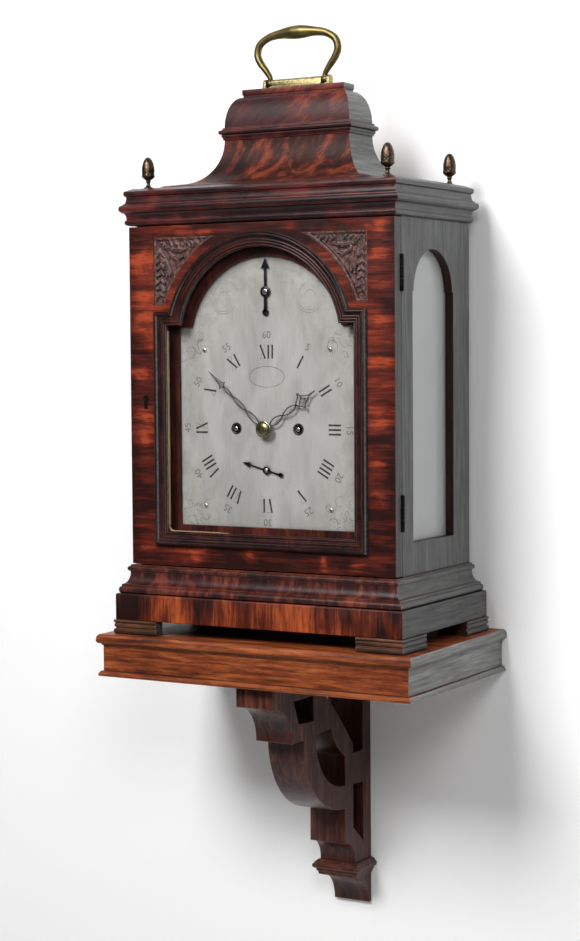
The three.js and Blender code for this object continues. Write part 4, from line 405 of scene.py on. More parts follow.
def silvered_finish():
    """Silvered brass, grained up and down, with brown patina and dark specks near its edges, and dirt and
    painted shade in its hollows.
    """
    f = Finish("silvered_brass", Metallic=0.05)
    fine = f.noise(f.stretch(1.0, 1.0, 0.04), 1700.0, 3.0)
    broad = f.noise(f.stretch(1.0, 1.0, 0.35), 60.0, 4.0, 0.6)
    value = f.line(fine, 0.28, f.times(broad, 0.72))
    color = f.ramp(value, (0.34, srgb(160, 158, 154)), (0.5, srgb(174, 172, 168)),
                   (0.68, srgb(187, 185, 181)))
    offset = f.vector("SUBTRACT", f.coords, DIAL_MIDDLE)
    reach = f.vector("LENGTH", f.vector("MULTIPLY", offset, DIAL_SQUEEZE), out=1)
    far = f.share(f.minus(reach, 0.062), 0.05)
    blotch = f.ramp(f.noise(f.coords, 60.0, 6.0, 1.0, 0.7), (0.44, 0.0), (0.6, 1.0))
    stain = f.times(far, blotch)
    color = f.mix(f.times(stain, 0.6), color, srgb(140, 136, 120))
    speck = f.ramp(f.noise(f.coords, 640.0, 3.0, 0.0, 0.7), (0.63, 0.0), (0.67, 1.0))
    fleck = f.times(speck, f.line(far, 0.75, 0.2))
    color = f.mix(fleck, color, srgb(84, 80, 72))
    # Dirt and painted shade where nearby parts hem the dial in.
    dirt_and_shade = f.ramp(f.hollows(0.004), (0.3, 1.0), (0.9, 0.0))
    color = f.mix(f.times(dirt_and_shade, 0.5), color, srgb(60, 54, 46))
    f.plug("Base Color", color)
    f.plug("Roughness", f.line(value, 0.25, 0.36))
    f.bump(fine, 0.00004, 0.4)
    return f.material


def glass_finish(name, tint, alpha, dust):
    """Old glass: faintly wavy, with a thin film of dust."""
    tint = srgb(*tint)
    f = Finish(name, Roughness=0.12, IOR=1.5, Alpha=alpha)
    film = f.noise(f.coords, 46.0, 4.0, 0.8)
    f.plug("Base Color", f.ramp(film, (0.3, tint), (0.7, tuple(min(1.0, c * dust) for c in tint))))
    f.bump(f.noise(f.coords, 22.0, 1.0), 0.0005, 0.25)
    return f.material


def wax_finish(name, color, scale=900.0, low=0.3):
    """Black wax in the engraving, rubbed thin in places."""
    color = srgb(*color)
    f = Finish(name)
    patch = f.noise(f.coords, scale, 3.0)
    f.plug("Base Color", f.ramp(patch, (low, color), (0.85, tuple(0.5 * c + 0.18 for c in color))))
    f.plug("Roughness", f.line(patch, 0.2, 0.4))
    return f.material


carved_wood = carved_finish()
silvered = silvered_finish()
door_pane = glass_finish("door_pane", (40, 42, 42), 0.04, 1.05)
# Painted reflection: the side and rear panes are a nearly opaque light grey that stands in for a pale room
# mirrored in the glass, with a little dust.
dusty_sheen_pane = glass_finish("window_pane", (198, 200, 199), 0.84, 1.02)
black_wax = wax_finish("black_wax", (20, 20, 22), low=0.5)
grey_wax = wax_finish("grey_wax", (96, 95, 91), 500.0)
faint_wax = wax_finish("faint_wax", (98, 96, 90), 300.0)
putty = wax_finish("old_putty", (150, 118, 62), 700.0)


# ---------- making pieces ----------

def keep(name, mesh, material, body, slot, nodes=(), smooth=34.0, bevel=0.0):
    """Puts a mesh on its body with its finish; it may stand for CAD nodes."""
    mesh.materials.clear()
    mesh.materials.append(material)
    mesh.polygons.foreach_set("use_smooth", [True] * len(mesh.polygons))
    mesh.set_sharp_from_angle(angle=math.radians(smooth))
    piece = bpy.data.objects.new(name, mesh)
    bpy.context.scene.collection.objects.link(piece)
    if bevel:
        rounding = piece.modifiers.new("rounding", "BEVEL")
        rounding.width = bevel * MM
        rounding.segments = 2
        rounding.limit_method = "ANGLE"
        rounding.angle_limit = math.radians(smooth)
        rounding.harden_normals = True
        rounding.use_clamp_overlap = True
    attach(piece, body)
    if nodes:
        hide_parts(*nodes)
    return piece


def build(name, points, faces, material, body, slot, nodes=(), **look):
    """A piece from points in millimetres."""
    mesh = bpy.data.meshes.new(name)
    mesh.from_pydata([Vector(p) * MM for p in points], [], faces)
    form = bmesh.new()
    form.from_mesh(mesh)
    bmesh.ops.remove_doubles(form, verts=form.verts, dist=1e-7)
    bmesh.ops.recalc_face_normals(form, faces=form.faces)
    form.to_mesh(mesh)
    form.free()
    return keep(name, mesh, material, body, slot, nodes, **look)


def clad(name, form, material, node, **look):
    """A made form that stands for one CAD node."""
    return build(name, *form, material, BODY[node], SLOT[node], [node], **look)


def dress(node, material, bevel=0.0, smooth=34.0):
    """The CAD node's own shape, with its coplanar facets merged and its edges rounded."""
    mesh = frame["nodes"][node].data.copy()
    form = bmesh.new()
    form.from_mesh(mesh)
    bmesh.ops.remove_doubles(form, verts=form.verts, dist=1e-6)
    bmesh.ops.dissolve_limit(form, angle_limit=math.radians(0.4), verts=form.verts, edges=form.edges)
    form.to_mesh(mesh)
    form.free()
    return keep(node + "_finish", mesh, material, BODY[node], SLOT[node], [node], smooth, bevel)


def skin(rings, closed=False):
    """Points and faces of a row of rings; an open row is capped."""
    count = len(rings[0])
    points = [p for ring in rings for p in ring]
    faces = []
    for k in range(len(rings) if closed else len(rings) - 1):
        here, there = k * count, ((k + 1) % len(rings)) * count
        for i in range(count):
            j = (i + 1) % count
            faces.append((here + i, here + j, there + j, there + i))
    if not closed:
        faces.append(tuple(range(count)))
        faces.append(tuple(range(len(points) - count, len(points))))
    return points, faces


def angles(count):
    return [2 * math.pi * k / count for k in range(count)]


def gather(parts):
    """Points and faces of several parts in one mesh."""
    points, faces = [], []
    for more, turns in parts:
        start = len(points)
        points += more
        faces += [tuple(start + i for i in face) for face in turns]
    return points, faces


def rect_ring(rect, out, z, back_out=None):
    half, front, back = rect
    back_out = out if back_out is None else back_out
    return [(-half - out, front - out, z), (half + out, front - out, z),
            (half + out, back + back_out, z), (-half - out, back + back_out, z)]


def quarter(start, end, level_first, steps=12):
    points = []
    for i in range(steps + 1):
        turn = (i / steps) * math.pi / 2
        a, b = math.sin(turn), 1 - math.cos(turn)
        fx, fz = (a, b) if level_first else (b, a)
        points.append((start[0] + (end[0] - start[0]) * fx, start[1] + (end[1] - start[1]) * fz))
    return points


def bead(start, end, bulge, steps=8):
    """Rounded moulding between two profile points, swelling outward by bulge."""
    points = []
    for i in range(steps + 1):
        t = i / steps
        points.append((start[0] + (end[0] - start[0]) * t + bulge * math.sin(math.pi * t),
                       start[1] + (end[1] - start[1]) * (1 - math.cos(math.pi * t)) / 2))
    return points


def moulding(name, profile, rect, material, nodes, framed=False, back_out=None, base=0.0, **look):
    """A profile (out, up from base) carried round a rectangle."""
    rings = [rect_ring(rect, out, base + z, back_out) for out, z in profile]
    points, faces = skin(rings, framed)
    return build(name, points, faces, material, BODY[nodes[0]], SLOT[nodes[0]], nodes, **look)


def arch_outline(half, bottom, shoulder, radius, arc_z, grow, steps=64):
    half, radius, shoulder, bottom = half + grow, radius + grow, shoulder + grow, bottom - grow
    foot = math.asin((shoulder - arc_z) / radius)
    points = [(-half, bottom), (half, bottom), (half, shoulder)]
    for i in range(steps + 1):
        angle = foot + (math.pi - 2 * foot) * i / steps
        points.append((radius * math.cos(angle), arc_z + radius * math.sin(angle)))
    points.append((-half, shoulder))
    return points


CASE_RECT = (CASE_HALF, DOOR_FACE, CASE_BACK)
BELL_RECT = (64.4, CASE_MIDDLE - 21.7, CASE_MIDDLE + 21.7)
SIGHT = (95.5, CASE_BOTTOM + 32.0, CASE_BOTTOM + 217.5, 82.0, CASE_BOTTOM + 204.0)


# ---------- wall bracket ----------

SHELF_RECT = (161.0, -197.0, 0.0)
RAIL_OUT = -5.0
LIP_OUT = -1.4
RAIL_HALF = 11.7

moulding("shelf_top_board", [
    (-4.0, 11.75), (-3.8, 12.8), *quarter((-3.4, 13.3), (0, 16.4), True),
    *quarter((-0.2, 17.9), (-3.6, SHELF_TOP), False),
], SHELF_RECT, shelf_wood, ["shelf_board"], back_out=0)
moulding("shelf_rail", [(RAIL_OUT, -RAIL_HALF), (RAIL_OUT, RAIL_HALF)], SHELF_RECT, shelf_wood,
         ["shelf_frieze"], back_out=0, bevel=0.5)
moulding("shelf_under_moulding", [
    (LIP_OUT - 0.8, -16.7), (LIP_OUT - 0.2, -16.3), (LIP_OUT, -15.7), (LIP_OUT, -14.5),
    *quarter((LIP_OUT - 0.6, -13.9), (RAIL_OUT + 0.4, -11.75), False),
], SHELF_RECT, shelf_wood, ["shelf_soffit"], back_out=0)
dress("corbel", corbel_wood, 0.8, 28)


def tail_moulding():
    """Stepped moulding round the front and sides of the corbel's tail."""
    low, half, front = -220.6, 19.0, -32.0
    profile = [(1.2, 0), (1.7, 2.9), (2.8, 3.2), (3.0, 5.4), (4.2, 5.9), (5.7, 7.2), (6.1, 8.7), (5.7, 10.2),
               (4.4, 11.3), (4.2, 12.2), (1.8, 14.2)]
    rings = [[(-half - out, -0.05, low + up), (-half - out, front - out, low + up),
              (half + out, front - out, low + up), (half + out, -0.05, low + up)] for out, up in profile]
    clad("tail_moulding_run", skin(rings), corbel_wood, "corbel_moulding")


tail_moulding()

# ---------- case ----------

moulding("plinth_frame", [
    (-10.4, FOOT_TOP + TOUCH), (11.2, FOOT_TOP + TOUCH), (11.6, FOOT_TOP + 0.6),
    (11.6, PLINTH_TOP - 1.4), (11.3, PLINTH_TOP - 0.7), (10.8, PLINTH_TOP - TOUCH),
    (-10.4, PLINTH_TOP - TOUCH),
], CASE_RECT, plinth_wood, ["plinth"], framed=True)
moulding("base_frame", [
    (-10, PLINTH_TOP), (7.8, PLINTH_TOP), *bead((7.9, PLINTH_TOP + 0.2), (7.6, PLINTH_TOP + 6.4), 1.8),
    (7.6, PLINTH_TOP + 8), *quarter((7.2, PLINTH_TOP + 8.4), (1.6, CASE_BOTTOM - 7), True),
    *bead((2, CASE_BOTTOM - 5.8), (1.8, CASE_BOTTOM - 1.3), 1.8), (1.6, CASE_BOTTOM - 1.1),
    (1.6, CASE_BOTTOM - TOUCH), (-10, CASE_BOTTOM - TOUCH),
], CASE_RECT, base_wood, ["base_moulding"], framed=True)


def bracket_foot(node, side_x, side_y):
    """Two reeded strips that meet at the plinth's corner."""
    length, thick, low, high = 46.0, 12.0, SHELF_TOP + TOUCH, FOOT_TOP - TOUCH
    corner_x = side_x * (CASE_HALF + 13.4)
    corner_y = DOOR_FACE - 13.4 if side_y < 0 else CASE_BACK + 13.4
    profile = [(-1.6, low), (-0.5, low + 0.7), (0, low + 2.4), (-0.4, low + 4.2), (-1.7, low + 5.0),
               (-1.7, low + 5.9), (-0.7, low + 6.6), (-0.5, low + 8.2), (-0.8, high - 3.5),
               (-1.7, high - 2.9), (-0.5, high - 2.4), (0, high - 1.3), (-0.4, high)]
    rings = []
    for out, z in profile:
        ring = [(out, out), (-length, out), (-length, -thick), (-thick, -thick), (-thick, -length),
                (out, -length)]
        rings.append([(corner_x + side_x * a, corner_y + side_y * b, z) for a, b in ring])
    clad(node + "_bracket", skin(rings), foot_wood, node, bevel=0.3)


for side_x, name_x in ((-1, "left"), (1, "right")):
    for side_y, name_y in ((-1, "front"), (1, "rear")):
        bracket_foot(f"foot_{name_y}_{name_x}", side_x, side_y)

moulding("cornice_run", [
    (0.6, TOUCH), *bead((1.2, 0.6), (1.6, 5.2), 1.5), *quarter((1.6, 6.4), (4.6, 11.6), False),
    (5.4, 12.2), *bead((5.5, 12.6), (5.4, 18.2), 1.4), (4.2, 18.7), *quarter((4, 19.4), (1.6, 25), True),
    (1.7, 26), *bead((2.2, 26.4), (2.2, 31.4), 1.3), (0, 32.4), (-2.6, CORNICE_TOP - CASE_TOP),
], CASE_RECT, cornice_wood, ["cornice"], base=CASE_TOP)

moulding("bell_cove_run", [
    (42, TOUCH), (42, 1.3), (39.2, 2.3), (32, 3), *quarter((30, 3.6), (0, WAIST_LOW - CORNICE_TOP), True, 20),
], BELL_RECT, cove_wood, ["bell_cove"], base=CORNICE_TOP)
moulding("bell_waist_run", [
    (1, TOUCH), (1.2, 2), *bead((1.6, 2.3), (1.9, 4.6), 0.5, 5), (3.2, 5.1),
    *bead((3.5, 5.3), (3.3, 8.7), 0.8), (1.6, 9.4), (1.4, DOME_LOW - WAIST_LOW - TOUCH),
], BELL_RECT, cornice_wood, ["bell_waist_moulding"], base=WAIST_LOW)
DOME_IN = 12.5
DOME_RISE = 28
DOME_SWEEP = 0.96
dome = [(-DOME_IN * (1 - math.cos(a)), DOME_LOW + DOME_RISE * math.sin(a))
        for a in (DOME_SWEEP * math.pi / 2 * i / 20 for i in range(21))]
moulding("bell_dome_run", [*dome, (-DOME_IN, CAP_LOW)], BELL_RECT, dome_wood, ["bell_dome"])
moulding("cap_run", [
    (-12.7, TOUCH), (-12.7, 1.6), (-12.1, 2.0), (-11.9, 2.4), (-11.9, 6.1), (-12.1, 6.7), (-12.7, 7.0),
], BELL_RECT, dome_wood, ["cap_block"], base=CAP_LOW)

for node in ("case_side_left", "case_side_right"):
    dress(node, side_wood, 0.5)
for node in ("case_floor", "case_top_board"):
    dress(node, carcass_wood, 0.3)
dress("dial_mask", mask_wood, 0.4, 28)
for node in ("side_glass_left", "side_glass_right", "rear_door_glass"):
    dress(node, dusty_sheen_pane)
for node in ("case_hinge_upper", "case_hinge_lower", "door_hinge_upper", "door_hinge_lower", "door_lock"):
    dress(node, black_iron, 0.2)
dress("handle_plate", plate_brass, 0.25)


# ---------- finials ----------

FINIAL_X = 122.0


def finial(node, x, y):
    """Turned foot and neck, a leafy cup and a pine cone of overlapping scales."""
    low, high, radius = CORNICE_TOP + TOUCH, 29.0, 6.3
    outline = [(0.0, 0.0), (0.66, 0.0), (0.7, 0.02), (0.68, 0.045), (0.5, 0.06), (0.36, 0.09), (0.27, 0.14),
               (0.26, 0.19), (0.34, 0.21), (0.4, 0.225), (0.34, 0.24), (0.3, 0.26), (0.46, 0.29),
               (0.74, 0.33), (0.92, 0.38), (0.97, 0.42), (0.88, 0.435), (0.86, 0.46), (0.88, 0.52),
               (0.89, 0.58), (0.87, 0.65), (0.81, 0.73), (0.71, 0.81), (0.56, 0.89), (0.34, 0.96), (0.0, 1.0)]
    steps, sides = 72, 48
    rings = []
    for k in range(1, steps):
        t = k / steps * (len(outline) - 1)
        i = min(int(t), len(outline) - 2)
        part = t - i
        share = outline[i][0] * (1 - part) + outline[i + 1][0] * part
        height = outline[i][1] * (1 - part) + outline[i + 1][1] * part
        ring = []
        for angle in angles(sides):
            r = radius * share
            if height > 0.44:
                a = math.sin(6 * angle + 30 * height)
                b = math.sin(6 * angle - 30 * height)
                r += 0.52 * (abs(a) ** 0.6 + abs(b) ** 0.6 - 1.3) * min(1.0, share * 1.8)
            elif height > 0.27:
                r *= 0.95 + 0.07 * abs(math.cos(5 * angle))
            ring.append((x + r * math.cos(angle), y + r * math.sin(angle), low + high * height))
        rings.append(ring)
    clad(node + "_cone", skin(rings), dark_brass, node, smooth=50)


for side_x, name_x in ((-1, "left"), (1, "right")):
    finial(f"finial_front_{name_x}", side_x * FINIAL_X, -160.0)
    finial(f"finial_rear_{name_x}", side_x * FINIAL_X, -38.0)


# ---------- carrying handle ----------

def spline(knots, per_span):
    """Catmull-Rom through the knots, all of one length."""
    points = []
    last = len(knots) - 1
    for i in range(last):
        p0, p1, p2, p3 = (knots[max(0, min(last, i + d))] for d in (-1, 0, 1, 2))
        for k in range(per_span):
            t = k / per_span
            points.append(tuple(
                0.5 * (2 * b + (c - a) * t + (2 * a - 5 * b + 4 * c - d) * t * t
                       + (3 * b - a - 3 * c + d) * t ** 3)
                for a, b, c, d in zip(p0, p1, p2, p3)))
    points.append(knots[-1])
    return points


HANDLE_SIDES = 28


def carrying_handle():
    """Bail with a swelling grip, and an eye at each end on the plate's pivot."""
    w, h, rod, grip = 41.5, 44.0, 3.4, 6.1
    half = [(28.5, 1.2, 2.3), (28.5, 5, 2.4), (0.78 * w, 0.25 * h, 2.9), (0.94 * w, 0.45 * h, rod),
            (w, 0.62 * h, rod), (0.93 * w, 0.81 * h, rod), (0.7 * w, 0.94 * h, rod + 0.1),
            (0.4 * w, 0.99 * h, 0.72 * grip), (0.16 * w, h, 0.95 * grip)]
    knots = half + [(0, h, grip)] + [(-x, z, r) for x, z, r in reversed(half)]
    route = spline(knots, 8)
    rings = []
    for i, (x, z, r) in enumerate(route):
        before, after = route[max(0, i - 1)], route[min(len(route) - 1, i + 1)]
        run = Vector((after[0] - before[0], after[1] - before[1])).normalized()
        ring = []
        for angle in angles(HANDLE_SIDES):
            across = r * math.cos(angle)
            ring.append((x - run.y * across, CASE_MIDDLE + r * math.sin(angle),
                         HANDLE_PIVOT + z + run.x * across))
        rings.append(ring)
    parts = [skin(rings)]
    for side in (-1, 1):
        parts.append(skin([
            [(side * x, CASE_MIDDLE + r * math.cos(a), HANDLE_PIVOT + r * math.sin(a))
             for a in angles(HANDLE_SIDES)]
            for x, r in ((26.0, 2.9), (26.3, 3.2), (30.7, 3.2), (31.0, 2.9))]))
    clad("bail_handle", gather(parts), handle_brass, "carrying_handle", smooth=50)


carrying_handle()


# ---------- front door ----------

dress("door_frame", door_wood, 0.5)
dress("door_glass", door_pane)
SIGHT_MOULDING = 12.5


def sight_moulding():
    """Three reeds at the opening, a hollow, then the raised bead outside."""
    def arc(a, b, rise, steps=6):
        return [(a[0] + (b[0] - a[0]) * i / steps,
                 a[1] + (b[1] - a[1]) * i / steps + rise * math.sin(math.pi * i / steps))
                for i in range(steps + 1)]
    profile = [(0.1, TOUCH), (0.1, 0.7), *arc((0.15, 0.8), (2.3, 1.0), 0.95),
               *arc((2.5, 1.2), (4.5, 1.6), 0.8), *arc((4.7, 1.7), (6.7, 2.0), 0.45),
               *arc((7.0, 2.1), (9.2, 4.2), -0.5), *arc((9.4, 4.5), (12.2, 3.4), 0.95),
               (SIGHT_MOULDING, 3.0), (SIGHT_MOULDING, TOUCH)]
    rings = [[(x, DOOR_FACE - proud, z) for x, z in arch_outline(*SIGHT, grow)] for grow, proud in profile]
    clad("sight_moulding", skin(rings, closed=True), reed_wood, "door_moulding", smooth=32)


sight_moulding()


def putty_line():
    """Old putty squeezed out along the left and lower edge of the sight."""
    half, bottom = SIGHT[0] - 0.15, SIGHT[1] + 0.15
    path = [(-half, z) for z in range(298, int(bottom) + 3, -3)]
    path += [(-half + 1.2, bottom + 1.2)] + [(x, bottom) for x in range(-92, -30, 3)]
    rings = []
    for i, (x, z) in enumerate(path):
        wide = 0.5 + 0.9 * abs(noise.noise(Vector((i * 0.37, 3.1, 0.0))))
        wide *= min(1.0, (len(path) - 1 - i) / 6 + 0.15)
        dx, dz = (wide, 0.0) if i < len(path) - 23 else (0.0, wide)
        front, back = DOOR_FACE + 0.4, DOOR_FACE + 3.0
        rings.append([(x, front, z), (x + dx, front + 0.5, z + dz), (x + dx, back, z + dz), (x, back, z)])
    build("putty_line", *skin(rings), putty, "front_door", "brass", smooth=60)


putty_line()


def prism(outline, front, back):
    """Points and faces of a flat shape in the dial's plane."""
    return skin([[(x, front, z) for x, z in outline], [(x, back, z) for x, z in outline]])


def circle(x, z, radius, count=28):
    return [(x + radius * math.cos(a), z + radius * math.sin(a)) for a in angles(count)]


def keyhole():
    x, z = -118.5, 237.0
    round_part = [(x + 3.1 * math.cos(a), z + 3.1 * math.sin(a))
                  for a in (math.radians(-52 + 284 * k / 24) for k in range(25))]
    outline = round_part + [(x - 1.9, z - 9.6), (x + 1.9, z - 9.6)]
    build("keyhole_shadow", *prism(outline, DOOR_FACE - 0.12, DOOR_FACE + 0.5), black_iron, "front_door",
          "dark_brass")


keyhole()


def bend(start, middle, end, t):
    u = 1 - t
    return (u * u * start[0] + 2 * u * t * middle[0] + t * t * end[0],
            u * u * start[1] + 2 * u * t * middle[1] + t * t * end[1])


def leaf_marks():
    """Leaves of the right-hand spandrel: spine points with a width and a height each."""
    leaves = []
    stem = [(102.0, 380.0), (89.0, 366.0), (81.0, 360.0)]
    leaves.append(([bend(*stem, i / 10) for i in range(11)], 1.5, 2.2, 0.0))
    for spine in ([(95, 378), (73, 376), (55, 380.4)], [(102.6, 374), (98, 352), (101.8, 326)]):
        for i in range(7):
            t = 0.08 + i * 0.13
            x, z = bend(*spine, t)
            ahead = bend(*spine, min(1.0, t + 0.05))
            heading = math.atan2(ahead[1] - z, ahead[0] - x)
            for side in (-1, 1):
                turn = heading + side * chance.uniform(0.6, 1.1)
                length = chance.uniform(6.5, 10.5) * (1.0 - 0.3 * t)
                tip = (x + length * math.cos(turn), z + length * math.sin(turn))
                sway = heading + side * 0.3
                middle = (x + 0.55 * length * math.cos(sway), z + 0.55 * length * math.sin(sway))
                points = [bend((x, z), middle, tip, k / 8) for k in range(9)]
                leaves.append((points, chance.uniform(1.5, 2.1), chance.uniform(1.7, 2.3), 1.0))
    for spine in ([(93, 372), (83, 369), (73, 371)], [(98, 368), (92, 356), (94, 346)],
                  [(90, 366), (83, 362), (77, 364)], [(96, 362), (90, 353), (90.5, 347)]):
        leaves.append(([bend(*spine, i / 10) for i in range(11)], 2.5, 2.4, 1.0))
    return leaves


LEAVES = leaf_marks()


def carving(x, z):
    """Height of the carving above its ground."""
    best = 0.0
    for spine, width, rise, veined in LEAVES:
        near, at = 1e9, 0
        for i, (px, pz) in enumerate(spine):
            gap = (x - px) ** 2 + (z - pz) ** 2
            if gap < near:
                near, at = gap, i
        t = at / (len(spine) - 1)
        reach = width * (0.35 + math.sin(math.pi * (0.12 + 0.8 * t)) * 0.9)
        reach *= 0.86 + 0.2 * abs(math.sin(7 * t))
        share = math.sqrt(near) / reach
        if share < 1.0:
            level = rise * (1 - share ** 2) ** 0.5 * (0.7 + 0.3 * t)
            if veined:
                level -= 0.6 * max(0.0, 1 - share * 4)
            best = max(best, level)
    return best


def spandrel(side, node):
    """Carved panel: bevelled border round a sunk ground with leaves."""
    arc_z, radius, outer, low, high = 289.1, 103.3, 108.2, 321.4, 381.8
    face = DOOR_FACE + 0.6
    across, up = 84, 130
    points, faces = [], []
    for j in range(up + 1):
        z = low + (high - low) * j / up
        inner = math.sqrt(radius ** 2 - (z - arc_z) ** 2)
        for i in range(across + 1):
            x = inner + (outer - inner) * i / across
            rim = min(outer - x, high - z, z - low, math.hypot(x, z - arc_z) - radius)
            well = min(1.0, max(0.0, (rim - 1.5) / 1.6))
            well = well * well * (3 - 2 * well)
            rough = 0.22 * noise.noise(Vector((x * 1.4, z * 1.4, side)))
            sink = well * (2.4 - min(2.3, carving(x - 2.0, z) + rough))
            points.append((side * x, face + 0.05 + sink, z))
    row = across + 1
    for j in range(up):
        for i in range(across):
            a = j * row + i
            faces.append((a, a + 1, a + row + 1, a + row))
    count = len(points)
    rim = ([i for i in range(row)] + [j * row + across for j in range(1, up + 1)]
           + [up * row + i for i in range(across - 1, -1, -1)] + [j * row for j in range(up - 1, 0, -1)])
    back = face + 2.9
    points += [(points[i][0], back, points[i][2]) for i in rim]
    for k in range(len(rim)):
        nxt = (k + 1) % len(rim)
        faces.append((rim[k], rim[nxt], count + nxt, count + k))
    faces.append(tuple(range(count, count + len(rim))))
    clad(node + "_carved", (points, faces), carved_wood, node, smooth=60)


spandrel(-1, "spandrel_left")
spandrel(1, "spandrel_right")

# ---------- rear door ----------

dress("rear_door_frame", side_wood, 0.5)


# ---------- dial ----------

dress("dial_plate", silvered)


class Inlay:
    """Thin strokes on the dial's face, gathered into one piece."""

    def __init__(self, lift):
        self.lift = lift
        self.points = []
        self.faces = []

    def quad(self, corners):
        start = len(self.points)
        for y in (DIAL_FACE + 0.01, DIAL_FACE - self.lift):
            self.points += [(x, y, z) for x, z in corners]
        n = len(corners)
        self.faces.append(tuple(range(start + n, start + 2 * n)))
        for i in range(n):
            j = (i + 1) % n
            self.faces.append((start + i, start + j, start + n + j, start + n + i))

    def stroke(self, a, b, width):
        run = Vector((b[0] - a[0], b[1] - a[1])).normalized()
        side = Vector((-run.y, run.x))
        half = side * width / 2
        self.quad([(a[0] - half.x, a[1] - half.y), (b[0] - half.x, b[1] - half.y),
                   (b[0] + half.x, b[1] + half.y), (a[0] + half.x, a[1] + half.y)])

    def curve(self, centre, radius, start, end, width, end_radius=None, steps=14):
        """Scroll that swells in its middle; its radius may change on the way."""
        end_radius = radius if end_radius is None else end_radius
        last = None
        for i in range(steps + 1):
            t = i / steps
            angle = math.radians(start + (end - start) * t)
            r = radius + (end_radius - radius) * t
            here = (centre[0] + r * math.cos(angle), centre[1] + r * math.sin(angle))
            if last:
                self.stroke(last, here, width * (0.35 + 0.65 * math.sin(math.pi * (i - 0.5) / steps)))
            last = here

    def done(self, name, material, slot="steel"):
        build(name, self.points, self.faces, material, "clock_case", slot, smooth=20)


def place(theta, along_ring, radius):
    """Point of a numeral: radius outward and a step clockwise, at an angle from twelve."""
    out = Vector((math.sin(theta), math.cos(theta)))
    right = Vector((math.cos(theta), -math.sin(theta)))
    spot = out * radius + right * along_ring
    return spot.x, DIAL_Z + spot.y


def chapters():
    thick, thin = Inlay(0.05), Inlay(0.04)
    inner, outer = 62.3, 74.3
    widths = {"I": 4.0, "V": 7.4, "X": 7.6}
    for hour, text in enumerate(("XII", "I", "II", "III", "IIII", "V", "VI", "VII", "VIII", "IX", "X", "XI")):
        theta = hour * math.pi / 6
        at = -sum(widths[c] for c in text) / 2
        for letter in text:
            w = widths[letter]
            middle = at + w / 2
            if letter == "I":
                thick.stroke(place(theta, middle, inner), place(theta, middle, outer), 1.6)
            elif letter == "V":
                thick.stroke(place(theta, at + 1.3, outer), place(theta, middle + 0.2, inner), 1.6)
                thin.stroke(place(theta, at + w - 1.3, outer), place(theta, middle + 0.3, inner), 0.3)
            else:
                thick.stroke(place(theta, at + 1.2, outer), place(theta, at + w - 1.2, inner), 1.6)
                thin.stroke(place(theta, at + w - 1.2, outer), place(theta, at + 1.2, inner), 0.3)
            for radius in (inner, outer):
                thin.stroke(place(theta, at + 0.7, radius), place(theta, at + w - 0.7, radius), 0.22)
            at += w
    thick.done("hour_numerals", black_wax)
    thin.done("hour_hairlines", faint_wax)


def minute_numbers():
    for five in range(1, 13):
        theta = five * math.pi / 6
        text = bpy.data.curves.new(f"minutes_{five * 5}", "FONT")
        text.body = str(five * 5)
        text.size = 9.0 * MM
        text.extrude = 0.02 * MM
        text.align_x = "CENTER"
        text.align_y = "CENTER"
        text.materials.append(grey_wax)
        piece = bpy.data.objects.new(f"minutes_{five * 5}", text)
        bpy.context.scene.collection.objects.link(piece)
        x, z = place(theta, 0, 83.0)
        upright = Matrix.Rotation(math.radians(90), 4, "X")
        spin = Matrix.Rotation(theta, 4, "Y")
        piece.matrix_world = Matrix.Translation(Vector((x, DIAL_FACE - 0.02, z)) * MM) @ spin @ upright
        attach(piece, "clock_case")


def engraving():
    """Faint scrolls in the corners and the arch, the date ring and a bare oval."""
    lines = Inlay(0.03)
    for sx, sz in ((-1, -1), (1, -1), (-1, 1), (1, 1)):
        cx, cz = sx * 74.0, DIAL_Z + sz * 76.0
        for _ in range(18):
            x, z = cx + chance.uniform(-13, 12), cz + chance.uniform(-13, 13)
            radius = chance.uniform(2.0, 6.5)
            start = chance.uniform(0, 360)
            lines.curve((x, z), radius, start, start + chance.choice((-1, 1)) * chance.uniform(90, 250),
                        chance.uniform(0.25, 0.6), radius * chance.uniform(0.3, 0.9))
    for sx in (-1, 1):
        centre = (sx * 44.0, 327.0)
        for radius, start, end in ((15, 200, 330), (13, 190, 300), (16, 20, 80), (12, 110, 170), (6, 0, 200)):
            lines.curve(centre, radius, start, end, 0.38, radius - 1.2)
        lines.curve((sx * 60.0, 318.0), 20, 40 if sx > 0 else 80, 100 if sx > 0 else 140, 0.3)
    for tick in range(31):
        angle = 2 * math.pi * tick / 31
        a, b = (Vector((math.sin(angle), math.cos(angle))) * r for r in (23.5, 25.0))
        lines.stroke((a.x, DATE_Z + a.y), (b.x, DATE_Z + b.y), 0.22)
    lines.done("dial_engraving", faint_wax)
    oval = Inlay(0.06)
    last = None
    for i in range(49):
        angle = 2 * math.pi * i / 48
        here = (18.0 * math.cos(angle), DIAL_Z + 46.2 + 9.2 * math.sin(angle))
        if last:
            oval.stroke(last, here, 0.5)
        last = here
    oval.done("oval_line", faint_wax, "silvered_brass")


chapters()
minute_numbers()
engraving()


def knob(name, x, y, z, radius, rise, material, body, slot):
    """Small round head that is domed towards the front."""
    profile = [(1.0, 0.0), (1.0, 0.3), (0.86, 0.7), (0.55, 0.93), (0.2, 1.0)]
    axis = Vector((0, -1, 0))
    first = axis.orthogonal().normalized()
    second = axis.cross(first)
    rings = []
    for share, up in profile:
        ring = []
        for a in angles(24):
            spot = Vector((x, y, z)) + axis * (rise * up)
            ring.append(tuple(spot + first * radius * share * math.cos(a)
                              + second * (radius * share * math.sin(a))))
        rings.append(ring)
    build(name, *skin(rings), material, body, slot, smooth=40)


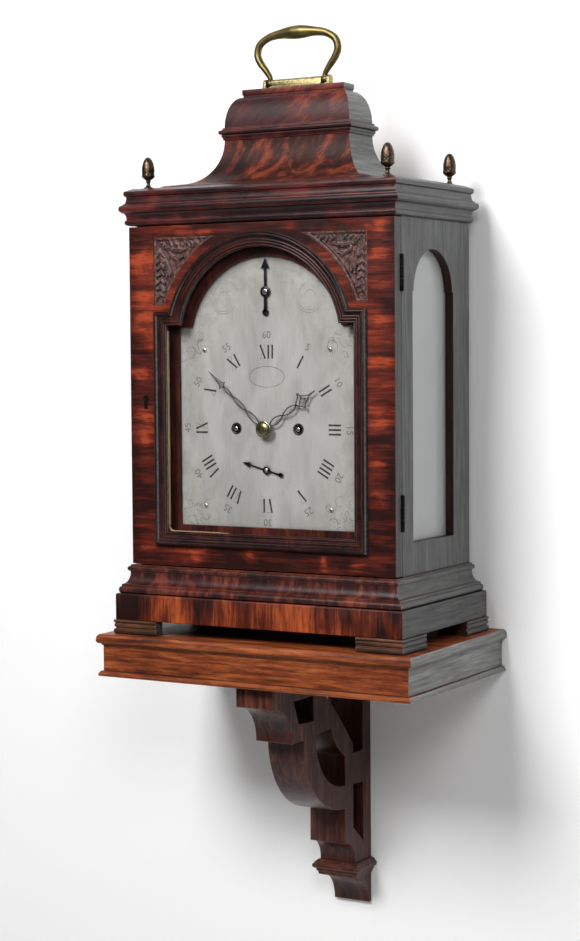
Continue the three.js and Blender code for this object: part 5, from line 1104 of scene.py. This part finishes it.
for sx in (-1, 1):
    for sz, label in ((-1, "low"), (1, "high")):
        knob(f"dial_rivet_{label}_{'left' if sx < 0 else 'right'}", sx * 64.5, DIAL_FACE, DIAL_Z + sz * 70.0,
             2.1, 1.2, rivet_steel, "clock_case", "steel")


def hole_shade_ring(name, x, z, inner, outer, rise, material):
    """Black turned ring round a winding hole: painted shade standing in for the hole's dark inside."""
    rings = []
    for radius, up in ((inner, -0.4), (inner, rise * 0.6), (inner + 0.2, rise),
                       (outer - 0.3, rise), (outer, 0.0)):
        rings.append([(px, DIAL_FACE - up, pz) for px, pz in circle(x, z, radius, 40)])
    build(name, *skin(rings, closed=True), material, "clock_case", "steel", smooth=40)


for x, fusee in ((-31.8, "strike_fusee"), (31.8, "going_fusee")):
    hole_shade_ring(f"winding_hole_shade_{fusee}", x, DIAL_Z, 3.9, 5.4, 0.3, black_wax)
    knob(f"winding_end_{fusee}", x, DIAL_FACE - 0.55, DIAL_Z, 1.9, 0.6, rivet_steel, BODY[fusee], "steel")


# ---------- hands ----------

def swung(points, degrees, z):
    """Points (across, along) of a hand turned clockwise from twelve."""
    turn = math.radians(degrees)
    return [(a * math.cos(turn) + b * math.sin(turn), z - a * math.sin(turn) + b * math.cos(turn))
            for a, b in points]


def turned(radius_and_rise, x, z, face, sides=36):
    """Rings of a turned piece that stands forward of a face."""
    return [[(px, face - up, pz) for px, pz in circle(x, z, radius, sides)] for radius, up in radius_and_rise]


class Hand:
    """Flat hand made of bent bars; their points are (across, along) before it is turned."""

    def __init__(self, front, back, degrees):
        self.front = front
        self.back = back
        self.degrees = degrees
        self.parts = []

    def bar(self, path, widths):
        left, right = [], []
        for i, (a, b) in enumerate(path):
            before, after = path[max(0, i - 1)], path[min(len(path) - 1, i + 1)]
            run = Vector((after[0] - before[0], after[1] - before[1])).normalized()
            wide = widths[i] / 2
            left.append((a - run.y * wide, b + run.x * wide))
            right.append((a + run.y * wide, b - run.x * wide))
        rings = []
        for one, other in zip(swung(left, self.degrees, DIAL_Z), swung(right, self.degrees, DIAL_Z)):
            rings.append([(one[0], self.front, one[1]), (other[0], self.front, other[1]),
                          (other[0], self.back, other[1]), (one[0], self.back, one[1])])
        self.parts.append(skin(rings))

    def loop(self, start, end, bulge, width, steps=14):
        """Two bars that part and meet again."""
        for side in (-1, 1):
            path = [(side * bulge * math.sin(math.pi * k / steps), start + (end - start) * k / steps)
                    for k in range(steps + 1)]
            self.bar(path, [width] * len(path))

    def boss(self, radius, rise, face):
        self.parts.append(skin(turned([(radius, 0.0), (radius, rise)], 0, DIAL_Z, face)))


def minute_hand():
    """Three pierced loops, a cross of leaves and a fine point."""
    hand = Hand(-164.4, -163.6, -48)
    hand.loop(5, 25, 2.5, 0.95)
    hand.loop(24.4, 43, 1.9, 0.9)
    hand.loop(42.4, 56, 1.3, 0.85)
    for side in (-1, 1):
        hand.bar([(0, 55), (side * 1.6, 57), (side * 4.2, 57.6)], [1.0, 0.9, 0.5])
        hand.bar([(side * 4.2, 57.6), (side * 1.6, 59), (side * 1.1, 62), (0, 76)], [0.5, 0.9, 0.8, 0.3])
    hand.boss(5.0, 0.8, hand.back)
    hand.boss(3.2, 3.0, -160.7)
    clad("minute_hand_pierced", gather(hand.parts), hand_steel, "minute_hand", smooth=50)


def hour_hand():
    """Two pierced loops and a pierced diamond with curled ends."""
    hand = Hand(-162.3, -161.5, 56)
    hand.loop(5, 22, 2.9, 1.1)
    hand.loop(21.4, 39, 2.6, 1.0)
    for side in (-1, 1):
        hand.bar([(0, 38), (side * 2.6, 40.5), (side * 4.4, 43.4), (side * 6.6, 44.8)], [1.0, 1.0, 1.0, 0.7])
        hand.bar([(side * 6.6, 45.2), (side * 4.2, 46.8), (side * 2.2, 50.2), (side * 0.4, 54), (0, 61.6)],
                 [0.7, 1.0, 1.0, 1.0, 0.5])
        hand.bar([(0, 42.5), (side * 2.4, 46), (0, 49.5)], [0.8, 0.7, 0.8])
        (x, z), = swung([(side * 7.0, 45)], hand.degrees, DIAL_Z)
        hand.parts.append(prism(circle(x, z, 1.15, 14), hand.front, hand.back))
    hand.boss(6.2, 0.8, hand.back)
    hand.boss(4.2, 3.0, -158.6)
    clad("hour_hand_pierced", gather(hand.parts), hand_steel, "hour_hand", smooth=50)


def small_hand(node, z, degrees, length, tail, weight, hub, arrow, shaft):
    """Arrow, shaft, round weight and a hub with a bright centre."""
    front, back = -160.0, -159.2
    arrow_head = [(-arrow, 0.68 * length), (0, length), (arrow, 0.68 * length), (shaft * 0.6, 0.74 * length)]
    blade = [(-shaft, -tail), (-shaft * 0.7, 0.72 * length), *arrow_head,
             (shaft * 0.7, 0.72 * length), (shaft, -tail)]
    (x, low), = swung([(0, -tail)], degrees, z)
    parts = [prism(swung(blade, degrees, z), front, back), prism(circle(x, low, weight), front, back),
             skin(turned([(hub, 0.0), (hub, 0.9), (hub - 0.5, 1.2)], 0, z, -159.2)),
             skin(turned([(1.6, 0.0), (1.6, 2.4)], 0, z, -156.9))]
    clad(node + "_blued", gather(parts), blued_steel, node, smooth=50)
    knob(node + "_pin", 0, -160.35, z, 0.52 * hub, 0.5, rivet_steel, BODY[node], "steel")


def collet():
    """Stepped brass collet with the pipe's end and pin in its middle."""
    profile = [(6.2, -0.0), (7.4, 0.0), (7.6, 0.5), (7.2, 1.0), (6.0, 1.25), (5.6, 0.95), (5.0, 1.0),
               (4.4, 1.5), (2.6, 1.9), (2.2, 1.4), (1.7, 1.4), (1.5, 2.2), (0.6, 2.25)]
    clad("hand_collet_turned", skin(turned(profile, 0, DIAL_Z, -164.5)), gilt_brass, "hand_collet",
         smooth=50)


minute_hand()
hour_hand()
small_hand("strike_silent_hand", STRIKE_Z, 0, 29.5, 18.0, 2.9, 4.8, 4.2, 1.3)
small_hand("date_hand", DATE_Z, -75, 25.5, 15.0, 2.0, 3.5, 2.6, 0.6)
collet()

# ---------- movement ----------

for node in ("movement_front_plate", "movement_back_plate"):
    dress(node, movement_brass, 0.25)
for node in ("centre_wheel", "third_wheel", "escape_wheel", "going_fusee", "strike_fusee",
             "going_barrel", "strike_barrel", "pendulum"):
    dress(node, movement_brass)
dress("pallet_arbor", steel)
dress("strike_hammer", steel, 0.2)
dress("strike_bell", bell_metal)


# ---------- stage ----------

def panel(name, corners, material):
    mesh = bpy.data.meshes.new(name)
    mesh.from_pydata(corners, [], [(0, 1, 2, 3)])
    mesh.materials.append(material)
    piece = bpy.data.objects.new(name, mesh)
    bpy.context.scene.collection.objects.link(piece)
    return piece


def backdrop_finish(name, white, glow, see_through):
    """Pale paint that keeps the shadow; from behind it can be looked through."""
    f = Finish(name, Roughness=1.0, Specular_IOR_Level=0.0, Emission_Color=(1, 1, 1, 1))
    grain = f.node("TexNoise", Vector=f.coords, Scale=3.0)
    f.plug("Base Color", f.ramp(grain, (0.0, white * 0.985), (1.0, white)))
    path = f.nodes.new("ShaderNodeLightPath").outputs
    seen = f.math("MAXIMUM", path["Is Camera Ray"], path["Is Glossy Ray"])
    seen = f.math("MAXIMUM", seen, path["Is Transmission Ray"])
    f.plug("Emission Strength", f.times(seen, glow))
    if see_through:
        behind = f.node("NewGeometry", out="Backfacing")
        choose = f.nodes.new("ShaderNodeMixShader")
        for socket, value in zip(choose.inputs, (behind, f.shader.outputs[0], f.node("BsdfTransparent"))):
            f.links.new(value, socket)
        f.links.new(choose.outputs[0], f.nodes["Material Output"].inputs["Surface"])
    return f.material


wall_paint = backdrop_finish("wall_paint", 0.97, 0.06, True)
floor_paint = backdrop_finish("floor_paint", 0.86, 0.1, False)
ROOM_HALF = 4
FLOOR_Z = -1.6
WALL_TOP = 3.5
WALL_GAP = 0.0006
panel("wall", [(-ROOM_HALF, WALL_GAP, FLOOR_Z), (ROOM_HALF, WALL_GAP, FLOOR_Z),
               (ROOM_HALF, WALL_GAP, WALL_TOP), (-ROOM_HALF, WALL_GAP, WALL_TOP)], wall_paint)
panel("floor", [(-ROOM_HALF, -5, FLOOR_Z), (ROOM_HALF, -5, FLOOR_Z), (ROOM_HALF, 3, FLOOR_Z),
                (-ROOM_HALF, 3, FLOOR_Z)], floor_paint)

AMBIENT = 0.045
world = bpy.data.worlds.new("studio")
bpy.context.scene.world = world
world.use_nodes = True
nodes, links = world.node_tree.nodes, world.node_tree.links
background = nodes["Background"]
path = nodes.new("ShaderNodeLightPath").outputs
seen = nodes.new("ShaderNodeMath")
seen.operation = "MAXIMUM"
links.new(path["Is Camera Ray"], seen.inputs[0])
links.new(path["Is Transmission Ray"], seen.inputs[1])
level = nodes.new("ShaderNodeMapRange")
level.inputs["To Min"].default_value = AMBIENT
links.new(seen.outputs[0], level.inputs["Value"])
background.inputs["Color"].default_value = (1, 1, 1, 1)
links.new(level.outputs[0], background.inputs["Strength"])


LAMP_AIM = (0, -0.1, 0.15)
LAMP_SIZE = 0.8


def lamp(name, spot, power):
    light = bpy.data.lights.new(name, "AREA")
    light.shape = "RECTANGLE"
    light.size = LAMP_SIZE
    light.size_y = LAMP_SIZE
    light.energy = power
    holder = bpy.data.objects.new(name, light)
    bpy.context.scene.collection.objects.link(holder)
    aim = (Vector(LAMP_AIM) - Vector(spot)).to_track_quat("-Z", "Y")
    holder.matrix_world = Matrix.Translation(spot) @ aim.to_matrix().to_4x4()


lamp("key_lamp", (-0.3, -1.9, 1.55), 54.0)
lamp("side_lamp", (1.15, -1.9, 1.2), 16.0)

# ---------- camera ----------

# Solved from the parallel edges of the case in the photograph.
CAMERA_SPOT = (0.9109, -1.7001, 0.2834)
CAMERA_AIM = (-0.498, 0.865, -0.0613)
CAMERA_ROLL = -0.426

lens = bpy.data.cameras.new("camera")
lens.lens = 77.39
lens.sensor_width = 36.0
lens.sensor_fit = "AUTO"
camera = bpy.data.objects.new("camera", lens)
bpy.context.scene.collection.objects.link(camera)
look = Vector(CAMERA_AIM).to_track_quat("-Z", "Y").to_matrix()
roll = Matrix.Rotation(math.radians(CAMERA_ROLL), 3, "Z")
camera.matrix_world = Matrix.Translation(CAMERA_SPOT) @ (look @ roll).to_4x4()
bpy.context.scene.camera = camera
bpy.context.scene.view_settings.view_transform = "Standard"
